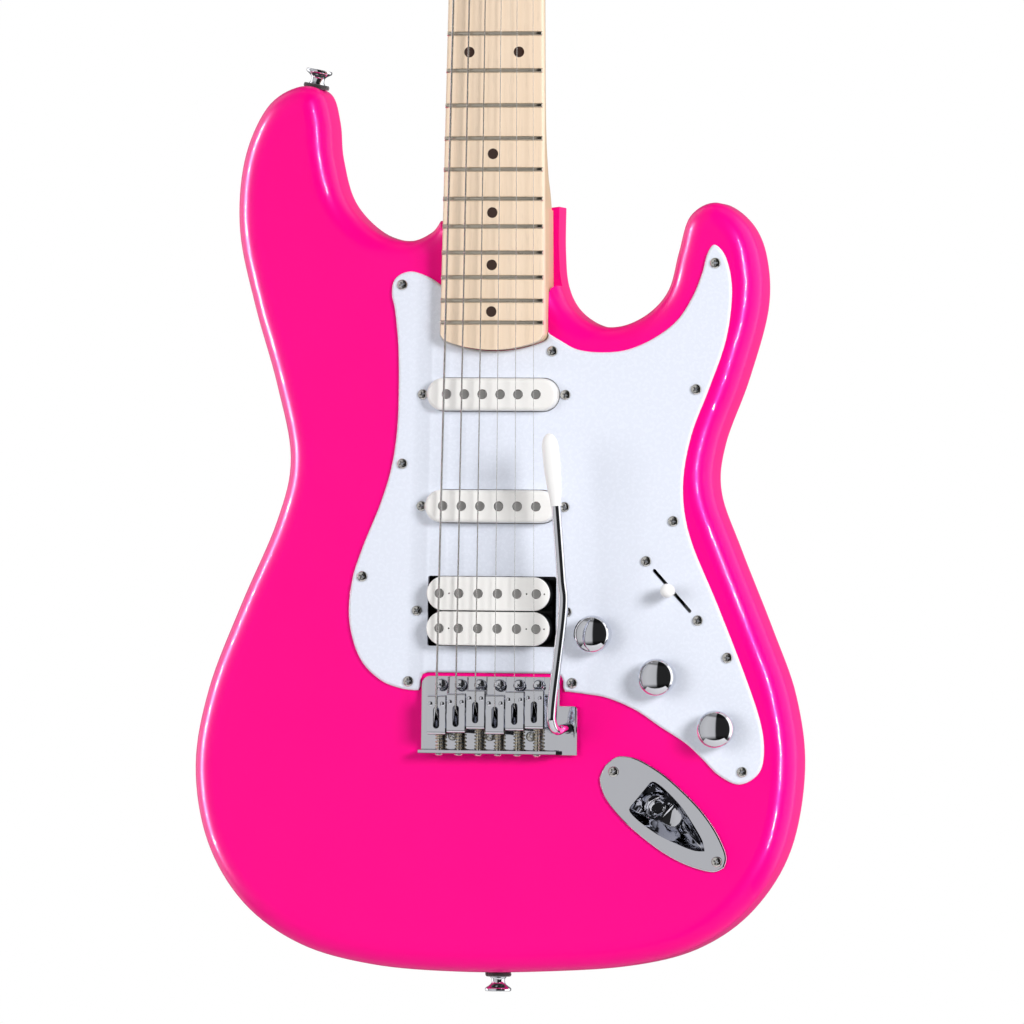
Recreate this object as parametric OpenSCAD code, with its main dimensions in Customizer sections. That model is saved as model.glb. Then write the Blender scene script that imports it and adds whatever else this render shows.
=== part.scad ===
// Solid-body electric guitar with a bolt-on neck, two single coils, a humbucker and a tremolo bridge.
// The guitar stands upright: +X is the treble side, -Y is the front face, +Z runs along the neck.
// The origin is the centre of the outer end face of the tail strap button.
// Most pieces are drawn in the plan frame: x to the treble side, y up the neck from the bridge line,
// z out of the front face of the body, with z = 0 on that face.

/* [Body] */
// Thickness of the body
body_t = 40; // [39:0.5:44]
// Radius of the rounding along both faces of the body
edge_r = 12; // [10:1:13]
// Height of the bridge line (the end of the scale) above the outer face of the tail strap button
bridge_up = 156; // [155:0.5:157]

/* [Neck] */
// Scale length, from the nut to the bridge line
scale_len = 647.7; // [640:0.1:650]
// Number of frets
fret_count = 21; // [19:1:21]
// Width of the fretboard at the nut
nut_w = 42; // [41:0.5:43]
// Width of the fretboard at its body end
heel_w = 56; // [55:0.5:57]
// Thickness of the fretboard at its centre line
board_t = 6; // [5:0.5:7]
// Height of the fretboard's centre line above the front of the body
board_up = 10.4; // [10:0.1:11]
// Thickness of the heel with its fretboard
heel_t = 24; // [23:0.5:25]
// Thickness of the neck with its fretboard at the nut
neck_t = 21; // [20:0.5:22]
// Thickness of the headstock
head_t = 14; // [13:0.5:15]

/* [Strings] */
// Distance between the outer strings at the bridge
bridge_spread = 52.5; // [52:0.1:53]
// Distance between the outer strings at the nut
nut_spread = 35; // [34:0.5:36]
// Height of the strings above the front of the body at the saddles
saddle_up = 14.8; // [14.5:0.1:15]
// Height of the strings above the front of the body at the nut
nut_up = 12.1; // [12:0.05:12.3]

/* [Pickups] */
// Length of a single-coil cover
cover_l = 70; // [69:0.5:71]
// Width of a single-coil cover
cover_w = 17; // [16:0.5:18]
// Height of the neck pickup above the body
neck_pickup_up = 8.6; // [8:0.1:9]
// Height of the middle pickup above the body
middle_pickup_up = 10.2; // [9.5:0.1:10.4]
// Height of the humbucker above the body
humbucker_up = 11.2; // [10.5:0.1:11.4]

/* [Bridge] */
// Thickness of the bridge plate
plate_t = 2; // [1.8:0.1:2.2]
// Gap between the body and the underside of the bridge plate
plate_gap = 1.1; // [1:0.1:1.2]
// Length of a saddle
saddle_l = 19; // [18:0.5:19.5]
// Diameter of the tremolo arm
arm_d = 5; // [4.8:0.1:5.2]

/* [Controls] */
// Diameter of the control knobs
knob_d = 19.6; // [19:0.1:20]
// Diameter of the bore in the output jack
jack_bore = 6.6; // [6.5:0.1:6.8]

/* [Hidden] */
$fn = 48;
// Clearance between a piece and the hole that it sits in, each side
fit = 0.05;

// Colours
pink = [0.98, 0.05, 0.58];
maple = [0.93, 0.80, 0.62];
board_maple = [0.95, 0.85, 0.68];
chrome = [0.72, 0.73, 0.76];
steel = [0.62, 0.62, 0.62];
white = [0.95, 0.95, 0.93];
guard_white = [0.90, 0.92, 0.98];
black = [0.08, 0.08, 0.08];
copper = [0.45, 0.20, 0.12];

// ---- Curves through hand-placed points (Catmull-Rom) ----
function blend_point(p0, p1, p2, p3, t) =
    0.5 * (2 * p1 + (p2 - p0) * t + (2 * p0 - 5 * p1 + 4 * p2 - p3) * t * t
        + (3 * p1 - p0 - 3 * p2 + p3) * t * t * t);
function reversed(p) = [for (i = [len(p) - 1 : -1 : 0]) p[i]];
function curve(p, steps) = let (last = len(p) - 1) concat(
    [for (i = [0 : last - 1]) for (k = [0 : steps - 1])
        blend_point(p[max(i - 1, 0)], p[i], p[i + 1], p[min(i + 2, last)], k / steps)],
    [p[last]]);

// ---- Levels in the plan frame ----
back_z = -body_t;
guard_t = 2.3;
heel_z = board_up - heel_t;
wood_top_z = board_up - board_t;
head_top_z = 1.4;
head_low_z = head_top_z - head_t;
front_route_z = -19;
back_route_z = back_z + 16;
cover_t = 2;

// ---- Neck ----
nut_y = scale_len;
heel_y = 178.5;
pocket_y = 254;
heel_arc_r = 70;
heel_corner_r = 4;
// Up the neck from here, the pocket has no wall on the treble side
wall_end_y = 214.5;
function fret_y(n) = scale_len * pow(2, -n / 12);
function neck_w(y) = nut_w + (heel_w - nut_w) * (nut_y - y) / (nut_y - heel_y);
dot_frets = [3, 5, 7, 9, 15, 17, 19, 21];
double_dot_fret = 12;
dot_d = 5.6;
double_dot_x = 13.3;
function dot_y(n) = (fret_y(n - 1) + fret_y(n)) / 2;
function dot_places() = concat([for (n = dot_frets) if (n <= fret_count) [0, dot_y(n)]],
    [for (s = [-1, 1]) [s * double_dot_x, dot_y(double_dot_fret)]]);
crown_r = 305;
fret_up = 1;

// ---- Strings: 1 is the thickest, on the bass side ----
string_d = [1.17, 0.91, 0.66, 0.43, 0.33, 0.25];
function bridge_x(i) = -bridge_spread / 2 + i * bridge_spread / 5;
function nut_x(i) = -nut_spread / 2 + i * nut_spread / 5;
function toward(a, b, dist) = a + (b - a) * dist / norm(b - a);
// The strings bend down just behind the nut
nut_bend_y = 0.75;
saddle_y = [-4.5, -3.5, -1.5, -4, -2, -1];

// ---- Headstock and tuners ----
post_first = [-18.6, 32];
post_step = [7.3, 25];
post_angle = atan2(post_step[1], post_step[0]);
post_d = 6;
post_up = 8.5;
function post_xy(i) = [post_first[0] + i * post_step[0], nut_y + post_first[1] + i * post_step[1]];
housing = [15, 21, 8.5];
worm_offset = 6;
worm_z = head_low_z - 4.7;
bushing_d = 9;
// Where a string reaches its post, and how high above the headstock
string_post_up = 3.4;
function post_side(i) = post_xy(i) + [post_d / 2 + string_d[i] / 2 + 0.35, 0];
// Trees that hold down strings 3 and 4, and 5 and 6
function tree_xy(i) = [(nut_x(2 * i + 2) + nut_x(2 * i + 3)) / 2 + 2 + 0.4 * i, nut_y + 58 + 34 * i];
function tree_top(i) = i == 0 ? 7.3 : 6.9;

// ---- Screw positions in plan ----
guard_screws = [[-50, 212.5], [31, 178], [117.5, 224], [108, 158.5], [96.5, 90], [-49, 119],
    [-70, 60], [-44.5, 5.5], [43.5, 5.5], [126, 19.5], [134.5, -39.5]];
cover_screws = [for (y = [-30, 75, 119]) for (x = [-42.5, 42.5]) [x, y]];
neck_plate_size = [51, 64];
neck_screws = [for (y = [-25.5, 25.5]) for (x = [-19, 19]) [x, pocket_y - 38 + y]];
small_screw_d = 2.8;
small_screw_l = 13;
small_head_d = 5.6;
small_head_h = 1.5;
long_screw_d = 4;

// ---- Pickups ----
neck_pickup_y = 155.3;
middle_pickup_y = 97;
humbucker_y = 42.4;
coil_screw_x = 38.4;
humbucker_screw_x = 40.3;
neck_pole_pitch = 9.6;
middle_pole_pitch = 10;
humbucker_pole_pitch = 10.4;
bobbin_l = 66;
bobbin_w = 17.6;
bobbin_pitch = 18.2;
core_l = 60;
core_w = 7;
bobbin_rows = [humbucker_y - bobbin_pitch / 2, humbucker_y + bobbin_pitch / 2];
pole_d = 4.8;

// ---- Bridge ----
pivot_y = 4;
pivot_screw_d = 3.2;
plate_top = plate_gap + plate_t;
plate_half = 37;
plate_front = 8.5;
plate_rear = -32;
plate_ear = 46.5;
plate_ear_y = -6.5;
saddle_pitch = bridge_spread / 5;
saddle_t = 1.6;
lip_up = 7;
// Saddle parts along y from the string's own saddle point
saddle_nose = 1.4;
saddle_slot_y = -8.8;
saddle_slot_l = 10.5;
string_bend_y = -4.4;
height_screw_y = -1.5;
height_screw_x = 3.2;
height_screw_d = 2.9;
small_bridge_d = 2.6;
intonation_z = plate_top + 3.9;
function saddle_top(i) = saddle_up - string_d[i] / 2 - fit;
block_screw_x = [-20, 0, 22];
block_screw_y = -22.5;
block_y = [-25, -13];
block_x = 34;
block_depth = 36;
string_hole_y = -17;
arm_xy = [41.5, -18];
boss_r = 4;
boss_depth = 14;

// ---- Spring cavity at the back ----
cavity_half = 39;
cavity_y = [-36, 118];
spring_z = -32;
spring_d = 8.5;
claw_y = 100;
spring_xs = [-22, 0, 22];
claw_screw_x = [-11, 11];

// ---- Controls ----
volume_xy = [56, 31];
tone_upper_xy = [90.5, 9];
tone_lower_xy = [122, -17.5];
switch_xy = [96.2, 53.9];
switch_angle = -47.6;
switch_screw_pitch = 41.3;
switch_pivot_z = -18;
control_depth = 30;

// ---- Output jack ----
jack_xy = [93.6, -63.2];
jack_angle = -39.6;
jack_screw_pitch = 72;
jack_wall_top = [-17.5, 0];
jack_wall_low = [-3.5, -15];
jack_tilt = atan2(jack_wall_top[1] - jack_wall_low[1], jack_wall_low[0] - jack_wall_top[0]);
cup_wall = 1.2;
jack_plate_t = 1.6;
jack_hole_d = 9.6;
// Levels along the jack: closed end of its bore, seat of its washer, end of its threaded neck
jack_end_z = -18.5;
jack_seat_z = 2.2;
jack_neck_z = 5.2;

// ---- Strap buttons ----
button_l = 7.6;
washer_t = 2.4;
button_seat = 4.6;
button_r = 6.9;
tail_y = button_l + washer_t - bridge_up;
horn_xy = [-104, 316.6];
horn_lean = 10.6;

// ---- Outlines in plan, clockwise from the treble side of the neck pocket ----
body_route = [[30, 254], [30, 232], [32, 213], [39, 200], [52, 192], [66, 192], [80, 199], [90, 211],
    [95, 230], [101, 249], [115, 256], [130, 246], [138, 228], [139, 201], [129, 164], [117, 131],
    [115, 106], [126, 76], [143, 35], [156, 0], [161, -38], [154, -80], [135, -111], [108, -131],
    [74, -141], [28, -145], [-20, -146], [-66, -143], [-105, -133], [-136, -112], [-156, -80],
    [-163, -40], [-156, 1], [-139, 45], [-120, 89], [-113, 122], [-121, 161], [-133, 201],
    [-142, 241], [-140, 278], [-128, 306], [-111, 317], [-98, 314], [-93, 299], [-91, 280],
    [-84, 257], [-68, 241], [-50, 236], [-38, 240.3], [-33, 246.5]];
guard_upper = [[29, 187], [35, 183.5], [44, 179], [57, 177.5], [71, 179], [85, 185], [97, 194],
    [105, 206], [110, 218], [113, 229], [117, 233.5], [123, 226], [126, 209], [123, 184], [114, 158],
    [105, 134], [101, 108], [105, 82], [120, 47], [134, 13], [143, -12], [145.5, -28], [143, -40],
    [133, -46], [122, -41.5], [113, -33], [104, -25], [91, -17], [77, -8], [62, -2], [50, 0],
    [41.5, 1]];
guard_lower = [[-41.5, 0.8], [-49, 1.8], [-60, 6], [-71, 17], [-77, 36], [-76, 57], [-70, 76],
    [-61, 98], [-55, 118], [-52, 142], [-52, 176], [-54, 198], [-56, 208], [-54, 216], [-46, 219.5],
    [-36, 216.5], [-29, 212]];
head_route = [[21, 4], [24, 22], [30, 62], [38, 112], [46, 152], [45, 172], [33, 183], [17, 182],
    [6, 170]];
// Half outlines of the jack plate and of its cup's mouth, in the plate's own frame
jack_half = [[-41.5, 0], [-40.6, 5], [-38, 9], [-30, 13.5], [-17, 16], [-4, 16.3], [10, 15.3],
    [22, 12.8], [32, 9], [38.5, 5], [41, 0]];
cup_half = [[-17.5, 11.2], [-8, 12], [4, 10.9], [15, 8], [25, 4.4], [30.5, 0]];
// Centre line of the tremolo arm, from the threaded end to the start of its tip
arm_route = [[41.5, -18, -10], [41.5, -18, 12], [40, -19, 20], [38.5, -15, 24.5], [39, -5, 27],
    [45.2, 43, 31], [44.5, 60, 32.5], [41.8, 97, 34.5]];
arm_tip_end = [38, 134.5, 36.5];

// ---- Frames ----
module plan() { translate([0, -body_t / 2, bridge_up]) rotate([90, 0, 0]) children(); }
module at(xy, z = 0) { translate([xy[0], xy[1], z]) children(); }
module on_switch() { at(switch_xy) rotate([0, 0, switch_angle]) children(); }
module on_jack_plate() { at(jack_xy) rotate([0, 0, jack_angle]) children(); }
// Looking along the jack: +z points out of the cup
module on_jack() {
    mid = (jack_wall_top + jack_wall_low) / 2;
    on_jack_plate() translate([mid[0], 0, mid[1]]) rotate([0, jack_tilt, 0]) children();
}
// +z points out of the horn, away from the body
module on_horn() { at(horn_xy, -body_t / 2) rotate([0, 0, -horn_lean]) rotate([-90, 0, 0]) children(); }
module on_tail() { at([0, tail_y], -body_t / 2) rotate([90, 0, 0]) children(); }

// ---- Shared shapes ----
module stadium(l, w) {
    hull_half = (l - w) / 2;
    square([2 * hull_half, w], center = true);
    for (s = [-1, 1]) translate([s * hull_half, 0]) circle(d = w);
}
module rounded(size, r) {
    square([size[0] - 2 * r, size[1]], center = true);
    square([size[0], size[1] - 2 * r], center = true);
    for (sx = [-1, 1]) for (sy = [-1, 1])
        translate([sx * (size[0] / 2 - r), sy * (size[1] / 2 - r)]) circle(r);
}
// Oval-head screw with its head resting at z = 0 and its shank below
module screw(d, l, head_d, head_h) {
    rotate_extrude() polygon(concat([[0, -l], [d * 0.2, -l], [d / 2, 2 - l], [d / 2, 0]],
        [for (a = [0 : 15 : 90]) [head_d / 2 * cos(a), head_h * sin(a)]]));
}
module small_screw(z = 0) {
    translate([0, 0, z]) screw(small_screw_d, small_screw_l, small_head_d, small_head_h);
}
module small_hole(z = 0) {
    translate([0, 0, z - small_screw_l - 0.5])
        cylinder(d = small_screw_d + 2 * fit, h = small_screw_l + 3);
}
// Tube along z from 0 to l
module tube(outer, inner, l) {
    difference() {
        cylinder(d = outer, h = l);
        translate([0, 0, -1]) cylinder(d = inner, h = l + 2);
    }
}
module box(x, y, z) { translate([x[0], y[0], z[0]]) cube([x[1] - x[0], y[1] - y[0], z[1] - z[0]]); }
// Round rod from a to b
module rod(a, b, d) {
    v = b - a;
    translate(a) rotate([0, acos(v[2] / norm(v)), atan2(v[1], v[0])]) cylinder(d = d, h = norm(v));
}

// ---- Body ----
module body_outline() { polygon(curve(body_route, 4)); }
// The rounded edge in steps: how far each slice lies inside the outline
function edge_inset(depth) = edge_r - sqrt(pow(edge_r, 2) - pow(edge_r - depth, 2));
edge_steps = [0, 1.5, 4, 8, edge_r];
module body_blank() {
    for (i = [0 : len(edge_steps) - 2]) {
        top = edge_steps[i];
        low = edge_steps[i + 1];
        inset = edge_inset((top + low) / 2);
        translate([0, 0, -low]) linear_extrude(low - top) offset(delta = -inset) body_outline();
        translate([0, 0, top - body_t]) linear_extrude(low - top) offset(delta = -inset) body_outline();
    }
    translate([0, 0, edge_r - body_t]) linear_extrude(body_t - 2 * edge_r) body_outline();
}
module heel_outline(gap = 0) {
    offset(r = heel_corner_r) offset(delta = -heel_corner_r) intersection() {
        polygon([[-neck_w(heel_y) / 2 - gap, heel_y - 10], [neck_w(heel_y) / 2 + gap, heel_y - 10],
            [neck_w(pocket_y) / 2 + gap, pocket_y + 20], [-neck_w(pocket_y) / 2 - gap, pocket_y + 20]]);
        union() {
            translate([0, heel_y - gap + heel_arc_r]) circle(heel_arc_r, $fn = 180);
            translate([-50, heel_y + heel_arc_r]) square([100, 50]);
        }
    }
}
module control_outline() {
    hull() {
        translate(volume_xy) circle(14, $fn = 32);
        translate(tone_lower_xy) circle(14.5, $fn = 32);
        translate([103, 47]) circle(12, $fn = 32);
        translate([83, 69]) circle(12, $fn = 32);
    }
}
module jack_outline() {
    hull() {
        translate([-20, 0]) circle(12.5, $fn = 32);
        translate([22, 0]) circle(10, $fn = 32);
    }
}
module body_cuts() {
    translate([0, 0, heel_z]) linear_extrude(heel_t) heel_outline(0.15);
    box([nut_w / 2, 34], [wall_end_y, pocket_y + 10], [heel_z, 5]);
    for (y = [neck_pickup_y, middle_pickup_y])
        box([-44, 44], [y - 12, y + 12], [front_route_z, 5]);
    box([-47, 47], [humbucker_y - 21, humbucker_y + 21], [front_route_z, 5]);
    // Wire channel that joins the pickup routes to each other
    box([-6, 6], [humbucker_y, neck_pickup_y], [front_route_z + 4, 5]);
    translate([0, 0, -control_depth]) linear_extrude(control_depth + 5) control_outline();
    box([20, volume_xy[0]], [humbucker_y - 12, humbucker_y], [front_route_z + 4, 5]);
    // Slot for the sustain block, its arm boss, and the spring cavity behind it
    box([-plate_half + 1, plate_half - 1], [-31, -8], [back_z - 5, 5]);
    box([plate_half - 2, plate_ear - 0.5], [-26, -12], [-boss_depth - 3, 5]);
    box([-cavity_half, cavity_half], cavity_y, [back_z - 5, back_route_z]);
    on_jack_plate() translate([0, 0, 6 - body_t]) linear_extrude(body_t) jack_outline();
    rod([jack_xy[0] + 14, jack_xy[1] + 4, -15], [tone_lower_xy[0] - 4, tone_lower_xy[1] - 6, -15], 8);
    for (p = guard_screws) at(p) small_hole(guard_t);
    for (p = cover_screws) at(p, back_z) rotate([180, 0, 0]) small_hole(cover_t);
    on_jack_plate() for (s = [-1, 1]) translate([s * jack_screw_pitch / 2, 0, 0]) small_hole(1.6);
    for (p = neck_screws) at(p, back_z - 2) cylinder(d = long_screw_d + 2 * fit, h = 46);
    for (i = [0 : 5]) at([bridge_x(i), pivot_y], -22) cylinder(d = pivot_screw_d + 2 * fit, h = 30);
    for (x = claw_screw_x) translate([x, claw_y, spring_z]) rotate([-90, 0, 0])
        cylinder(d = long_screw_d + 2 * fit, h = 48);
    on_tail() translate([0, 0, -26]) cylinder(d = long_screw_d + 2 * fit, h = 30);
    on_horn() translate([0, 0, -26]) cylinder(d = long_screw_d + 2 * fit, h = 30);
    // Flat seats for the strap washers
    on_tail() cylinder(r = 7.2, h = 10);
    on_horn() cylinder(r = 7.2, h = 10);
}
module body() {
    color(pink) plan() difference() {
        body_blank();
        body_cuts();
    }
}

// ---- Neck ----
// Half-round cross-section: width w, from height z0 down by depth
module neck_slice(y, w, depth, flat) {
    translate([0, y, wood_top_z]) rotate([90, 0, 0]) linear_extrude(0.1) intersection() {
        resize([w, 2 * depth]) circle(depth, $fn = 40);
        translate([-w / 2, -flat]) square([w, flat]);
    }
}
module neck_blank() {
    shaft_end = pocket_y + 38;
    heel_end = pocket_y + 4;
    depth_nut = neck_t - board_t;
    depth_heel = heel_t - board_t - 2;
    hull() {
        neck_slice(nut_y, nut_w, depth_nut, 50);
        neck_slice(shaft_end, neck_w(shaft_end), depth_heel, 50);
    }
    hull() {
        neck_slice(shaft_end, neck_w(shaft_end), depth_heel, 50);
        neck_slice(heel_end, neck_w(heel_end), (heel_t - board_t) * 1.25, heel_t - board_t);
    }
    translate([0, 0, heel_z]) linear_extrude(wood_top_z - heel_z) intersection() {
        heel_outline();
        translate([-50, 0]) square([100, heel_end]);
    }
    // Volute: the neck's back runs into the back of the headstock
    hull() {
        neck_slice(nut_y, nut_w, depth_nut, 50);
        translate([-22, nut_y + 10, head_low_z]) cube([45, 8, head_t]);
    }
    translate([0, nut_y, head_low_z]) linear_extrude(head_t)
        polygon(concat([[-21, 4], [-30.5, 22]], reversed(curve(head_route, 5))));
}
module neck() {
    color(maple) plan() difference() {
        neck_blank();
        for (i = [0 : 5]) at(post_xy(i), head_low_z - 1) cylinder(d = bushing_d + 2 * fit, h = head_t + 2);
        for (p = neck_screws) at(p, heel_z - 1) cylinder(d = long_screw_d + 2 * fit, h = 13);
        translate([0, heel_y + 12, wood_top_z - 6]) rotate([-90, 0, 0])
            cylinder(d = 6 + 2 * fit, h = nut_y - heel_y - 14);
        for (i = [0, 1]) at(tree_xy(i), head_top_z - 9) cylinder(d = 2 + 2 * fit, h = 12);
    }
}
module truss_rod() {
    color(steel) plan() translate([0, heel_y + 13, wood_top_z - 6]) rotate([-90, 0, 0])
        cylinder(d = 6, h = nut_y - heel_y - 16);
}
module board_blank() {
    translate([0, 0, wood_top_z]) linear_extrude(board_t) intersection() {
        union() {
            heel_outline();
            polygon([for (s = [-1, 1]) [s * neck_w(pocket_y) / 2, pocket_y],
                for (s = [1, -1]) [s * nut_w / 2, nut_y]]);
        }
        translate([-50, 0]) square([100, nut_y - 3]);
    }
}
// Solid under the crowned top of the fretboard, raised by extra
module crown(extra = 0) {
    translate([0, heel_y - 1, board_up - crown_r + extra]) rotate([-90, 0, 0])
        cylinder(r = crown_r, h = nut_y, $fn = 360);
}
module fretboard() {
    color(board_maple) plan() difference() {
        intersection() {
            board_blank();
            crown();
        }
        for (n = [1 : fret_count])
            box([-40, 40], [fret_y(n) - 0.3, fret_y(n) + 0.3], [board_up - 2.6, board_up + 2]);
        for (p = dot_places()) at(p, board_up - 2.5) cylinder(d = dot_d + 2 * fit, h = 5);
    }
}
module fret_wires() {
    color(steel) plan() for (n = [1 : fret_count]) {
        half = neck_w(fret_y(n)) / 2;
        intersection() {
            crown(fret_up);
            difference() {
                box([-half, half], [fret_y(n) - 1.2, fret_y(n) + 1.2], [board_up - 2.4, board_up + fret_up]);
                difference() {
                    crown(fit / 2);
                    box([-half, half], [fret_y(n) - 0.25, fret_y(n) + 0.25], [board_up - 2.4, board_up + 2]);
                }
            }
        }
    }
}
module position_dots() {
    color([0.2, 0.13, 0.07]) plan() intersection() {
        for (p = dot_places()) at(p, board_up - 2.4) cylinder(d = dot_d, h = 5);
        crown();
    }
}
module nut() {
    color(white) plan() difference() {
        box([-nut_w / 2, nut_w / 2], [nut_y - 3 + fit, nut_y + 0.5], [wood_top_z + fit, nut_up + 0.3]);
        for (i = [0 : 5]) translate([nut_x(i), nut_y - 5, nut_up]) rotate([-90, 0, 0]) {
            cylinder(d = string_d[i] + 2 * fit, h = 10);
            translate([-(string_d[i] / 2 + fit), -2, 0]) cube([string_d[i] + 2 * fit, 2, 10]);
        }
    }
}

// ---- Strings ----
module string_run(i) {
    d = string_d[i];
    saddle = [bridge_x(i), saddle_y[i] + string_bend_y, saddle_up];
    nut_point = [nut_x(i), nut_y + nut_bend_y, nut_up];
    post = [post_side(i)[0], post_side(i)[1], head_top_z + string_post_up];
    slot = [bridge_x(i), string_hole_y + 2, plate_top + 1.5];
    rod(saddle, nut_point, d);
    rod(toward(nut_point, post, d * 0.2), post, d);
    // Behind the break point the string drops through the saddle slot to the block
    rod(slot, toward(saddle, slot, d * 0.6), d);
}
module strings() { color(steel) plan() for (i = [0 : 5]) string_run(i); }
module string_trees() {
    color(chrome) plan() for (i = [0, 1]) at(tree_xy(i), head_top_z) {
        cylinder(d = 2, h = 0.1 + tree_top(i) + 1.4);
        translate([0, 0, -8.5]) cylinder(d = 2, h = 8.6);
        tube(5, 2, tree_top(i));
        translate([-5, -2.2, tree_top(i)]) cube([10, 4.4, 1.2]);
    }
}

// ---- Tuners ----
module on_post(i) { at(post_xy(i)) children(); }
module tuner_post(i) {
    color(chrome) plan() on_post(i) {
        difference() {
            union() {
                translate([0, 0, head_low_z - 3]) cylinder(d = post_d, h = head_t + post_up + 3);
                translate([0, 0, head_top_z + 7]) cylinder(d = post_d + 1.4, h = 1.5);
            }
            translate([0, 0, head_top_z + 5]) rotate([0, 90, 0]) cylinder(d = 1.6, h = 20, center = true);
        }
        // Worm wheel on the lower end of the post
        translate([0, 0, head_low_z - 6.4]) cylinder(d = 8, h = 3.4);
        // Windings of the string
        for (k = [0 : 2]) translate([0, 0, head_top_z + 2.6 + k * 0.9])
            tube(post_d + 0.6, post_d - 0.2, 0.7);
    }
}
// Along the button's shaft: +x points away from the headstock's tuner edge
module on_button(i) {
    on_post(i) rotate([0, 0, post_angle + 90]) translate([0, -worm_offset, worm_z]) children();
}
module tuner_button(i) {
    color(chrome) plan() on_button(i) {
        rotate([0, 90, 0]) translate([0, 0, -5.5]) cylinder(d = 3.2, h = 11);
        rotate([0, 90, 0]) translate([0, 0, 5.4]) cylinder(d = 4.4, h = 15);
        translate([24.5, 0, 0]) rotate([90, 0, 90]) difference() {
            translate([0, 0, -7]) linear_extrude(13) stadium(17, 8);
            for (s = [-1, 1]) translate([0, s * 14.5, -10]) cylinder(r = 12, h = 20);
        }
    }
}
module tuner_housings() {
    color(chrome) plan() for (i = [0 : 5]) on_post(i) rotate([0, 0, post_angle + 90]) difference() {
        translate([-1, -2.5, head_low_z - housing[2]]) linear_extrude(housing[2] - 0.02)
            rounded([housing[0], housing[1]], 2);
        translate([0, 0, head_low_z - 6.7]) cylinder(d = 8.6, h = 4);
        translate([0, 0, head_low_z - 5]) cylinder(d = post_d + 0.1, h = 8);
        translate([-6, -worm_offset, worm_z]) rotate([0, 90, 0]) cylinder(d = 3.6, h = 30);
        translate([5.2, -worm_offset, worm_z]) rotate([0, 90, 0]) cylinder(d = 5, h = 30);
    }
}
module tuner_bushings() {
    color(chrome) plan() for (i = [0 : 5]) on_post(i) difference() {
        union() {
            translate([0, 0, head_top_z - 8]) cylinder(d = bushing_d, h = 8);
            translate([0, 0, head_top_z]) cylinder(d = 11, h = 1.6);
        }
        translate([0, 0, head_top_z - 9]) cylinder(d = post_d + 0.1, h = 12);
    }
}

// ---- Neck joint ----
module neck_plate() {
    color(chrome) plan() difference() {
        at([0, pocket_y - 38], back_z - 1.5) linear_extrude(1.5 - 0.02) rounded(neck_plate_size, 6);
        for (p = neck_screws) at(p, back_z - 3) cylinder(d = long_screw_d + 2 * fit, h = 5);
    }
}
module wood_screws() {
    color(steel) plan() {
        for (p = neck_screws) at(p, back_z - 1.5) rotate([180, 0, 0]) screw(long_screw_d, 38, 8, 2);
        for (x = claw_screw_x) translate([x, claw_y - 2.1, spring_z]) rotate([90, 0, 0])
            screw(long_screw_d, 44, 8, 2.5);
        on_tail() translate([0, 0, washer_t + button_seat]) screw(long_screw_d, 31, 6.6, 2);
        on_horn() translate([0, 0, washer_t + button_seat]) screw(long_screw_d, 31, 6.6, 2);
    }
}

// ---- Pickguard ----
module guard_outline() {
    notch = 10.3;
    difference() {
        polygon(concat(curve(guard_upper, 4),
            [[39.5, 1], [38.5, 3], [38.5, 6.5], [37.3, 9.3], [34.5, notch]],
            [[-34.5, notch], [-37.3, 9.3], [-38.5, 6.5], [-38.5, 3], [-39.5, 0.9]],
            curve(guard_lower, 4), [[0, 240]]));
        heel_outline(0.4);
        polygon([[-neck_w(250) / 2 - 0.4, 260], [-neck_w(200) / 2 - 0.4, 190], [neck_w(200) / 2 + 0.4, 190],
            [neck_w(250) / 2 + 0.4, 260]]);
    }
}
module pickguard() {
    color(guard_white) plan() difference() {
        linear_extrude(guard_t) guard_outline();
        for (y = [neck_pickup_y, middle_pickup_y]) translate([0, y, -1]) linear_extrude(5)
            stadium(cover_l + 0.8, cover_w + 0.8);
        translate([0, humbucker_y, -1]) linear_extrude(5) rounded([69, 36.6], 1);
        for (p = guard_screws) at(p, -1) cylinder(d = small_screw_d + 2 * fit, h = 5);
        for (y = [neck_pickup_y, middle_pickup_y]) for (s = [-1, 1])
            translate([s * coil_screw_x, y, -1]) cylinder(d = 3.2, h = 5);
        for (s = [-1, 1]) translate([s * humbucker_screw_x, humbucker_y, -1]) cylinder(d = 3.2, h = 5);
        for (p = [volume_xy, tone_upper_xy, tone_lower_xy]) at(p, -1) cylinder(d = 7.4, h = 5);
        on_switch() {
            translate([0, 0, -1]) linear_extrude(5) stadium(30, 1.9);
            for (s = [-1, 1]) translate([s * switch_screw_pitch / 2, 0, -1]) cylinder(d = 3.2, h = 5);
        }
    }
}
// The small oval-head screws of the pickguard, jack plate, back cover and selector switch
module plate_screws() {
    color(steel) plan() {
        for (p = guard_screws) at(p) small_screw(guard_t);
        for (p = cover_screws) at(p, back_z - cover_t) rotate([180, 0, 0]) small_screw(0);
        on_jack_plate() for (s = [-1, 1]) translate([s * jack_screw_pitch / 2, 0, 0]) small_screw(1.6);
        on_switch() for (s = [-1, 1]) translate([s * switch_screw_pitch / 2, 0, guard_t])
            screw(2.9, 6, small_head_d, small_head_h);
    }
}

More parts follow.
